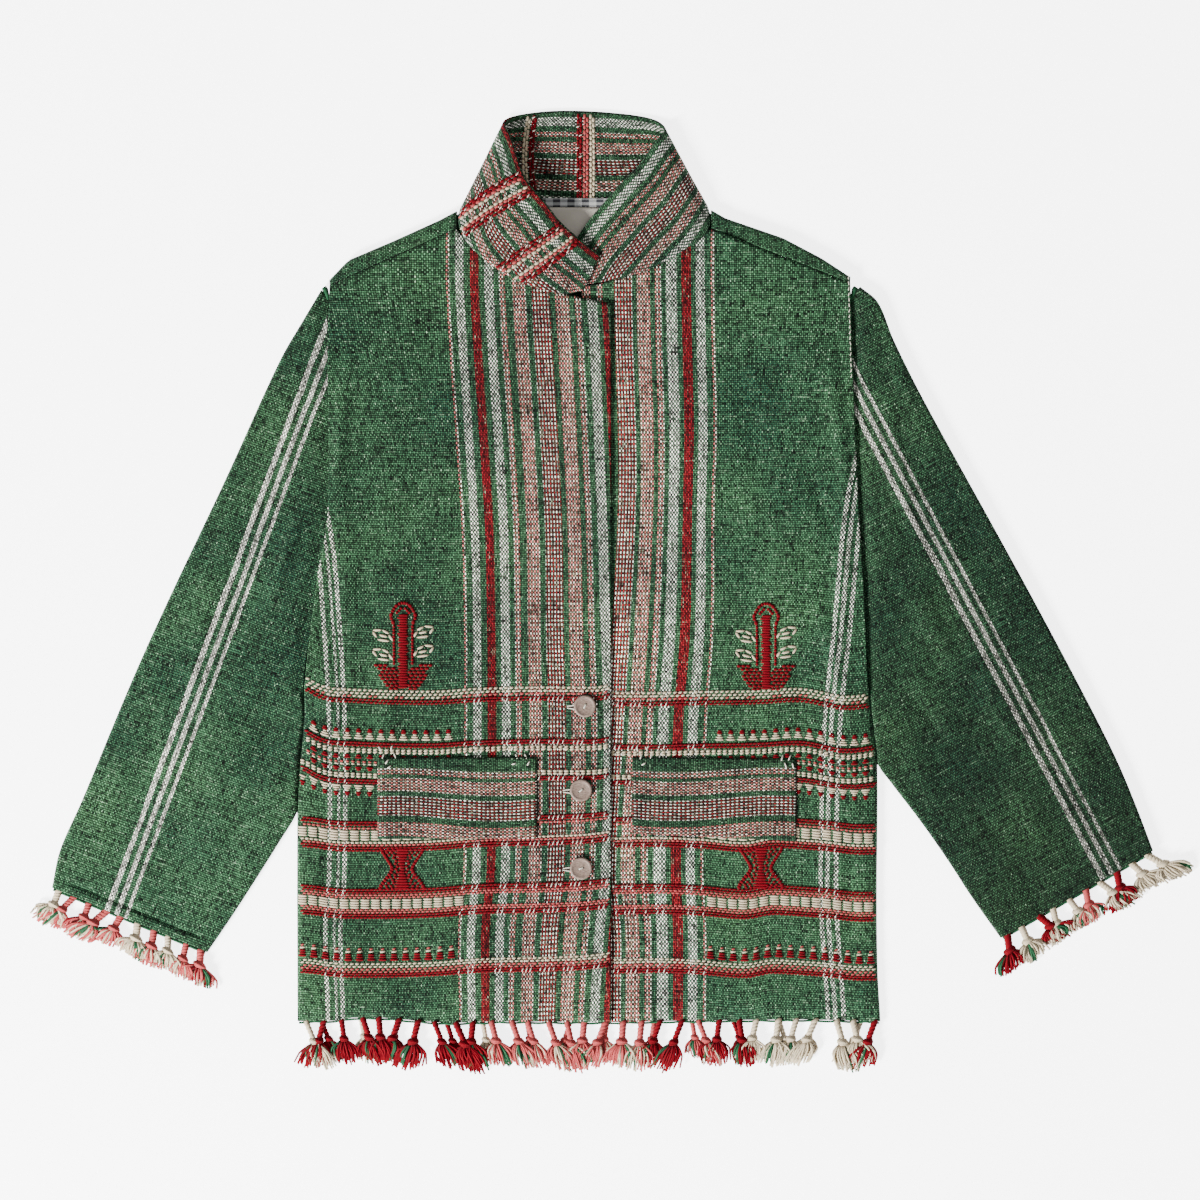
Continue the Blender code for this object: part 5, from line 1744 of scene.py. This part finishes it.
def make_button(row):
    """A swept disc with its holes drilled; its lower and upper height and its turn."""
    bm = bmesh.new()
    turns = [2 * math.pi * k / BUTTON_SIDES for k in range(BUTTON_SIDES)]
    rings = []
    for level in PROFILE:
        rings.append([bm.verts.new((level.r * BUTTON_RADIUS * math.cos(a),
                                    level.r * BUTTON_RADIUS * math.sin(a),
                                    level.z * BUTTON_THICKNESS)) for a in turns])
    for low, high in zip(rings, rings[1:]):
        for k in range(BUTTON_SIDES):
            n = (k + 1) % BUTTON_SIDES
            bm.faces.new((low[k], low[n], high[n], high[k]))
    bm.faces.new(rings[0][::-1])
    bm.faces.new(rings[-1])
    mesh = bpy.data.meshes.new("horn_" + row.name)
    bm.to_mesh(mesh)
    bm.free()
    button = bpy.data.objects.new("horn_" + row.name, mesh)
    bpy.context.collection.objects.link(button)
    holes = bmesh.new()
    for side in (-1, 1):
        drilled = bmesh.ops.create_cone(holes, cap_ends=True, segments=20, radius1=HOLE_RADIUS,
                                        radius2=HOLE_RADIUS, depth=12 * MM)
        bmesh.ops.translate(holes, verts=drilled["verts"], vec=(side * HOLE_SHIFT * MM, 0, 0))
    drill_mesh = bpy.data.meshes.new("drill")
    holes.to_mesh(drill_mesh)
    holes.free()
    drill = bpy.data.objects.new("drill", drill_mesh)
    bpy.context.collection.objects.link(drill)
    cut = button.modifiers.new("holes", "BOOLEAN")
    cut.operation = "DIFFERENCE"
    cut.object = drill
    ready = bpy.data.meshes.new_from_object(button.evaluated_get(bpy.context.evaluated_depsgraph_get()))
    button.modifiers.clear()
    bpy.data.objects.remove(drill)
    button.data = ready
    ready.name = "horn_" + row.name
    ready.materials.clear()
    ready.materials.append(HORN)
    ready.shade_smooth()
    ready.set_sharp_from_angle(angle=math.radians(40))
    low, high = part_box(row.name)
    turn = math.radians(row.turn)
    for vertex in ready.vertices:
        x, y, z = vertex.co
        vertex.co = (x * math.cos(turn) - y * math.sin(turn) + row.x * MM,
                     x * math.sin(turn) + y * math.cos(turn) + row.y * MM, z + low[2])
    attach(button, "root")
    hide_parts(row.name)
    return low[2], high[2], turn


# %% Sewing the buttons on
def sew_button(yarns, row, low_z, high_z, turn):
    """Thread through the two holes, and the end of the buttonhole at the button's left."""
    way = Vector((math.cos(turn), math.sin(turn), 0.0))
    centre = Vector((row.x * MM, row.y * MM, 0.0))
    for shift in (-0.3, 0.3):
        side = Vector((-way.y, way.x, 0.0)) * shift * MM
        deep, top = low_z + 0.5 * MM, high_z - 0.35 * MM
        points = [centre + way * d * MM + side + Vector((0, 0, z))
                  for d, z in ((-2.1, deep), (-2.05, top - 0.2 * MM), (-1.2, top),
                               (0.0, top + 0.15 * MM), (1.2, top), (2.05, top - 0.2 * MM),
                               (2.1, deep))]
        yarns.tube(points, [0.3 * MM] * 7, "white", sides=6)
    for shift, colour in ((-1.7, "white"), (0.0, "dark"), (1.7, "white")):
        start = Vector((row.x * MM - 16.2 * MM, row.y * MM + shift * 0.45 * MM - 0.8 * MM, 0.0))
        end = Vector((row.x * MM - 9.0 * MM, row.y * MM + shift * MM - 0.8 * MM, 0.0))
        points = []
        for share in steps(0.0, 1.0, 5):
            spot = start.lerp(end, share)
            spot.z = left_top(spot.x, spot.y) + 0.25 * MM
            points.append(spot)
        yarns.tube(points, [0.35 * MM, 0.5 * MM, 0.55 * MM, 0.55 * MM, 0.5 * MM, 0.4 * MM],
                   colour, sides=6)


sewing = Yarns("stitches")
for row in BUTTONS:
    sew_button(sewing, row, *make_button(row))
print("buttons", len(BUTTONS))

# %% [markdown]
# ## Stitches
#
# The hand sewing shows in a few places: short white stitches at the flaps' corners, dark
# bars beside them down each flap's right edge, a bar tack on the left flap and on the right
# flap a painted shadow along its edge, and a pale running stitch down the right armhole. A
# green cord of yarn lies in each armhole's seam and swells at the underarm, where it closes
# the corner between the front and the sleeve.


# %% Hand sewing
def stitch(x, y, long, slant, surface, colour="white", thick=0.42, lift=0.3):
    turn = math.radians(slant)
    points = []
    for share in (-1.0, -0.4, 0.4, 1.0):
        px = (x + share * long / 2 * math.cos(turn)) * MM
        py = (y + share * long / 2 * math.sin(turn)) * MM
        points.append(Vector((px, py, surface(px, py) + (lift if abs(share) < 1 else 0.0) * MM)))
    sewing.tube(points, [thick * 0.6 * MM, thick * MM, thick * MM, thick * 0.6 * MM], colour, sides=5)


def on_flap(which):
    corners = FLAP_CORNERS[which]
    body = left_top if which == "left" else right_top

    def surface(x, y):
        across = (x / MM - corners[0].x) / (corners[1].x - corners[0].x)
        up = (y / MM - corners[0].y) / (corners[3].y - corners[0].y)
        if 0 <= across <= 1 and 0 <= up <= 1:
            return flap_top(corners, body, across, up).z
        return body(x, y)

    return surface


# %% Stitches and the seam cords
FLAP_TOP = {which: on_flap(which) for which in ("left", "right")}
CORNER_STITCHES = table(
    "which x y long slant",
    ("left", -201.0, -140.5, 5.0, 118), ("left", -198.0, -147.0, 4.6, 70),
    ("left", -194.6, -152.0, 4.6, 55), ("left", -190.6, -139.6, 5.2, 75),
    ("left", -187.6, -146.6, 4.8, 110), ("left", -192.6, -157.0, 4.0, 40),
    ("left", -82.0, -140.0, 4.6, 65), ("left", -78.4, -147.4, 4.6, 110),
    ("left", -74.0, -140.6, 4.6, 70), ("left", -70.0, -147.2, 4.6, 115),
    ("left", -67.4, -153.4, 4.6, 60), ("left", -80.6, -154.0, 4.0, 20),
    ("right", 30.4, -140.8, 4.6, 100), ("right", 33.8, -147.4, 4.6, 65),
    ("right", 38.6, -140.6, 4.6, 115), ("right", 43.0, -146.8, 4.8, 70),
    ("right", 36.2, -154.0, 4.2, 30), ("right", 160.6, -148.6, 5.4, 75),
    ("right", 163.6, -155.4, 5.0, 110), ("right", 167.4, -148.4, 5.2, 65),
    ("right", 170.2, -155.6, 5.0, 105),
)
for row in CORNER_STITCHES:
    stitch(row.x, row.y, row.long, row.slant, FLAP_TOP[row.which], thick=0.75, lift=0.45)
# Dark bars down each flap's right edge: a bar tack on the left flap, painted shadow on the right flap
for k in range(16):
    slant = 90 + 6 * math.sin(k)
    stitch(-59.6, -152.0 - 3.3 * k, 3.2, slant, FLAP_TOP["left"], colour="dark", thick=0.7)
    stitch(173.4, -154.0 - 3.4 * k, 3.2, slant, FLAP_TOP["right"], colour="dark", thick=0.6)
for k in range(19):
    y = 283.0 - 4.9 * k
    x = x_at(RIGHT_SIDE, y * MM) / MM - 1.6
    stitch(x, y, 3.4, 84 + 14 * math.sin(k * 1.7), right_top, thick=0.5, lift=0.35)
SEAM_HEAD = table(
    "out y z thick",
    (5.4, 274.5, 4.2, 2.4), (3.8, 272.0, 4.4, 2.6), (2.2, 267.0, 4.6, 1.8),
)
SWELL_Y, SWELL_LONG = 92.0, 7.0
for side, rows, low_y in ((-1, LEFT_SIDE, -198.0), (1, RIGHT_SIDE, -155.0)):
    points = [Vector(((rows[0].x + side * row.out) * MM, row.y * MM, row.z * MM)) for row in SEAM_HEAD]
    radii = [row.thick * MM for row in SEAM_HEAD]
    for y in steps(260.0, low_y, 110):
        swell = math.exp(-((y + SWELL_Y) / SWELL_LONG) ** 2)
        x = x_at(rows, y * MM) + side * (0.45 + 2.6 * swell) * MM
        points.append(Vector((x, y * MM, 2.6 * MM)))
        radii.append((1.15 + 2.0 * swell) * MM)
    sewing.tube(points, radii, "green", sides=6)
print("stitches", len(sewing.faces))
stitches = sewing.made(None, "tassel_cream")

# %% [markdown]
# ## Tassels
#
# The warp ends are gathered, wrapped into a short stem, knotted and left to fan out. Each
# tassel is two twisted cords, a knot of wound yarn and a bunch of strands that spread and
# curl, each a thin tube with its own lean. They hang where the solid fringes are.

# %% One tassel
STRIP_DEPTH = 2.0 * MM
STEM_LENGTH = 14.5 * MM
KNOT_LENGTH = 4.5 * MM
TASSEL_HALF = 8.6 * MM
LOCK_LENGTH = 23.0 * MM
CORD_RINGS = 22
CORD_TWIST = 15.0
WINDINGS = 5
WINDING_SIDES = 12
STRANDS = 46
STRAND_RINGS = 7
rng = random.Random(7)


def add_tassel(yarns, root, way, out, lean, size, colours, z, slim=1.0):
    """A tassel from its root at the cloth's edge, hanging along out."""
    stem = (STEM_LENGTH + KNOT_LENGTH) * size + STRIP_DEPTH

    def spot(side, down, height, girth):
        """A place beside and below the root, no lower than its yarn's radius above the table."""
        place = root + way * (side + lean * down) + out * down
        return Vector((place.x, place.y, max(height, girth)))

    cord = rng.choice(colours[:2])
    for ply in range(2):
        points, radii = [], []
        for k in range(CORD_RINGS + 1):
            share = k / CORD_RINGS
            turn = share * CORD_TWIST + ply * math.pi
            radius = 1.15 * MM * slim
            radii.append((1.95 - 0.2 * share) * MM * slim)
            points.append(spot(math.cos(turn) * radius, share * 0.80 * stem - 0.8 * MM,
                               z + math.sin(turn) * radius, radii[-1]))
        yarns.tube(points, radii, cord if ply == 0 or rng.random() < 0.7 else colours[1], sides=6)
    for k in range(WINDINGS):
        down = stem * (0.76 + 0.05 * k)
        points = []
        for j in range(WINDING_SIDES + 1):
            turn = 2 * math.pi * j / WINDING_SIDES
            wide = (2.4 + 1.7 * math.sin(0.4 + 0.6 * k)) * MM * slim
            points.append(spot(math.cos(turn) * wide, down + 0.4 * MM * math.sin(turn + k),
                               z + 0.6 * MM + math.sin(turn) * wide * 0.72, 1.1 * MM * slim))
        yarns.tube(points, [1.05 * MM * slim] * len(points), cord, sides=5,
                   up=Vector((0.1, 0.2, 1.0)))
    # One lock of the strands has the last colour
    clump = rng.uniform(-1.3, 1.3)
    strands = int(STRANDS * slim + 4)
    for k in range(strands):
        spread = (k + 0.5) / strands * 2 - 1
        spread += rng.uniform(-0.30, 0.30)
        layer = rng.uniform(-1.0, 1.0)
        length = LOCK_LENGTH * size * rng.uniform(0.62, 1.08) * (1.0 - 0.16 * abs(spread))
        curl = rng.uniform(-2.6, 2.6) * MM
        colour = colours[-1] if abs(spread - clump) < 0.15 else rng.choice(colours[:-1])
        points, radii = [], []
        for j in range(STRAND_RINGS):
            share = j / (STRAND_RINGS - 1)
            fan = TASSEL_HALF * slim * (0.34 + 0.86 * math.sin(min(share * 2.6, 1.5)) + 0.10 * share)
            side = spread * fan + curl * share * share
            bulge = math.sin(math.pi * min(share * 1.1 + 0.12, 1.0))
            height = z + layer * 2.5 * MM * slim * bulge + 0.3 * MM * bulge
            radii.append((1.02 - 0.30 * share) * MM * (0.4 + 0.6 * slim))
            points.append(spot(side, stem * 0.95 + share * length, height, radii[-1]))
        yarns.tube(points, radii, colour, sides=4)


def tassel_row(count, lean, margin=0.02):
    """The places of the tassels of a fringe, as in the solids."""
    places = []
    for k, share in enumerate(steps(margin, 1 - margin, count - 1)):
        uneven = math.sin(2.4 * k + 0.7)
        places += table("share lean length",
                        (share + 0.08 * uneven / count,
                         lean * (1 - share) ** 3 + 0.015 * math.sin(1.7 * k),
                         1.0 + 0.05 * uneven))
    return places


print("tassels on the left front's hem", len(tassel_row(17, 0.0)))

# %% [markdown]
# The colours of the tassels, from left to right. A mix names the colours that a strand may
# take; the last of them comes only in one lock.

# %% Colours of the fringes
RED_MIX = ("red", "red", "red", "red", "green")
PINK_MIX = ("pink", "pink", "pink", "cream", "green")
CREAM_MIX = ("cream", "cream", "cream", "green")
MIXED = ("pink", "pink", "red", "cream", "green")
HEM_LEFT = [CREAM_MIX] + [RED_MIX] * 9 + [MIXED] + [PINK_MIX] * 6
HEM_RIGHT = ([PINK_MIX] * 2 + [RED_MIX] * 2 + [MIXED] + [RED_MIX] * 2 + [CREAM_MIX] * 6
             + [RED_MIX])
HEM_BACK = ([RED_MIX, CREAM_MIX] + [RED_MIX] * 2 + [CREAM_MIX] + [PINK_MIX] * 5 + [RED_MIX]
            + [CREAM_MIX] * 3)
CUFF_LEFT = [CREAM_MIX, PINK_MIX, MIXED, PINK_MIX, PINK_MIX, CREAM_MIX, PINK_MIX, CREAM_MIX,
             PINK_MIX, MIXED]
CUFF_RIGHT = [RED_MIX, CREAM_MIX, RED_MIX, CREAM_MIX, CREAM_MIX, PINK_MIX, CREAM_MIX, RED_MIX,
              CREAM_MIX, CREAM_MIX]
print("tassels", sum(map(len, (HEM_LEFT, HEM_RIGHT, HEM_BACK, CUFF_LEFT, CUFF_RIGHT))))


# %% Fringes
def make_fringe(node, start, end, places, mixes, z, slot, shorten=1.0, slim=1.0, edge=None):
    """The tassels between two ends, and the cord that they hang from."""
    yarns = Yarns("tassels_" + node)
    run = end - start
    way = run.normalized()
    out = Vector((way.y, -way.x))
    for place, colours in zip(places, mixes):
        root = start + run * place.share
        if edge:
            root = Vector((root.x, root.y + y_at(edge, root.x) - HEM_LOW))
        lean = place.lean + rng.choice((-1, 1)) * rng.uniform(0.04, 0.44)
        long = place.length * shorten * rng.uniform(0.90, 1.04)
        add_tassel(yarns, root, way, out, lean, long, colours, z, slim * rng.uniform(0.92, 1.16))
    if edge:
        # Overcast loops along the hem
        points = []
        for share in steps(0.0, 1.0, 160):
            spot = start + run * share
            loop = 0.9 * MM * abs(math.sin(spot.x / (7.5 * MM)))
            points.append(Vector((spot.x, spot.y + y_at(edge, spot.x) - HEM_LOW - 0.1 * MM - loop, z)))
    else:
        points = [Vector((*(start + run * share + out * 0.9 * MM), z))
                  for share in steps(0.0, 1.0, 30)]
    yarns.tube(points, [1.0 * MM * slim] * len(points), "green", sides=6)
    return yarns.made(node, slot)


def make_fringes():
    """Three fringes at the hem, and one at each cuff."""
    off = 0.5 * MM
    hem_y = HEM_LOW - off
    fringes = [
        make_fringe("fringe_hem_left", Vector((-274.0 * MM, hem_y)), Vector((6.0 * MM, hem_y)),
                    tassel_row(17, 0.0), HEM_LEFT, HEM_REST + 0.75 * MM, "tassel_red", edge=HEM),
        make_fringe("fringe_hem_right", Vector((12.0 * MM, hem_y)), Vector((248.0 * MM, hem_y)),
                    tassel_row(14, 0.0), HEM_RIGHT, HEM_REST + 0.75 * MM, "tassel_cream", edge=HEM),
        make_fringe("fringe_hem_back", Vector((-266.0 * MM, hem_y)), Vector((240.0 * MM, hem_y)),
                    tassel_row(14, 0.02), HEM_BACK, 1.5 * MM, "tassel_cream", 0.9, 0.8, HEM),
    ]
    for name, outer, inner, flip, lean, mixes, slot in (
        ("fringe_cuff_left", LEFT_SLEEVE_OUTER, LEFT_SLEEVE_INNER, False, -0.24,
         CUFF_LEFT, "tassel_pink"),
        ("fringe_cuff_right", RIGHT_SLEEVE_OUTER, RIGHT_SLEEVE_INNER, True, -0.20,
         CUFF_RIGHT, "tassel_cream"),
    ):
        a = along_edge(outer, 1.0)
        b = along_edge(inner, 1.0)
        way = (b - a).normalized()
        out = Vector((way.y, -way.x)) if not flip else Vector((-way.y, way.x))
        a = a + way * 2.0 * MM + out * off
        b = b - way * 2.0 * MM + out * off
        tassels = tassel_row(10, lean, 0.03)
        if flip:
            a, b = b, a
            tassels = [t._replace(share=1 - t.share, lean=-t.lean) for t in reversed(tassels)]
        fringes.append(make_fringe(name, a, b, tassels, mixes, 2.8 * MM, slot,
                                   shorten=0.74, slim=1.15))
    return fringes


hem_left, hem_right, hem_back, cuff_left, cuff_right = make_fringes()

# %% [markdown]
# ## The cut
#
# The size that each cloth was cut to is worked out from its surface: the fronts and back
# with their turnings, a sleeve opened out, the collar as a strip.

# %% Sheets
left_area * 1.04
right_area * 1.04
back_area * 1.02
min(sleeve_left_area * 1.03, 0.30)
min(sleeve_right_area * 1.03, 0.30)
collar_area * 1.02
print("cloth that shows, m2", round(left_area + right_area + back_area, 2))

# %% [markdown]
# ## Table and light
#
# The jacket lies on a white table, which glows so that it stays near white beside dark
# wool. One large soft lamp from the lower left gives the shadows their side, and a weak
# lamp and the pale world fill them.

# %% Table
TABLE_SIZE = 12.0
TABLE_GLOW = 4.2
bpy.ops.mesh.primitive_plane_add(size=TABLE_SIZE, location=(0.0, 0.0, 0.0))
floor = bpy.context.object
floor.name = "table_top"
paint, shader, start = new_finish("table_paint", roughness=0.9, specular=0.2)
shader.inputs["Base Color"].default_value = (0.95, 0.95, 0.97, 1.0)
shader.inputs["Emission Color"].default_value = (0.975, 0.965, 1.0, 1.0)
shader.inputs["Emission Strength"].default_value = TABLE_GLOW
floor.data.materials.append(paint)
print("table", TABLE_SIZE, "m wide")

# %% Light
LAMPS = table(
    "name place size power",
    ("key", (-3.3, -3.2, 2.1), 1.1, 1600.0),
    ("fill", (2.0, 2.4, 4.0), 2.5, 70.0),
)
WORLD_LIGHT = 0.55


def lamp(name, place, size, power):
    """A square lamp that points at the middle of the jacket."""
    light = bpy.data.objects.new(name, bpy.data.lights.new(name, "AREA"))
    bpy.context.collection.objects.link(light)
    light.data.size = size
    light.data.energy = power
    light.location = place
    light.rotation_euler = (-Vector(place)).to_track_quat("-Z", "Y").to_euler()


for row in LAMPS:
    lamp(*row)
world = bpy.data.worlds.new("studio")
world.use_nodes = True
world.node_tree.nodes["Background"].inputs["Color"].default_value = (0.95, 0.96, 1.0, 1.0)
world.node_tree.nodes["Background"].inputs["Strength"].default_value = WORLD_LIGHT
bpy.context.scene.world = world
print("lamps", len(LAMPS))
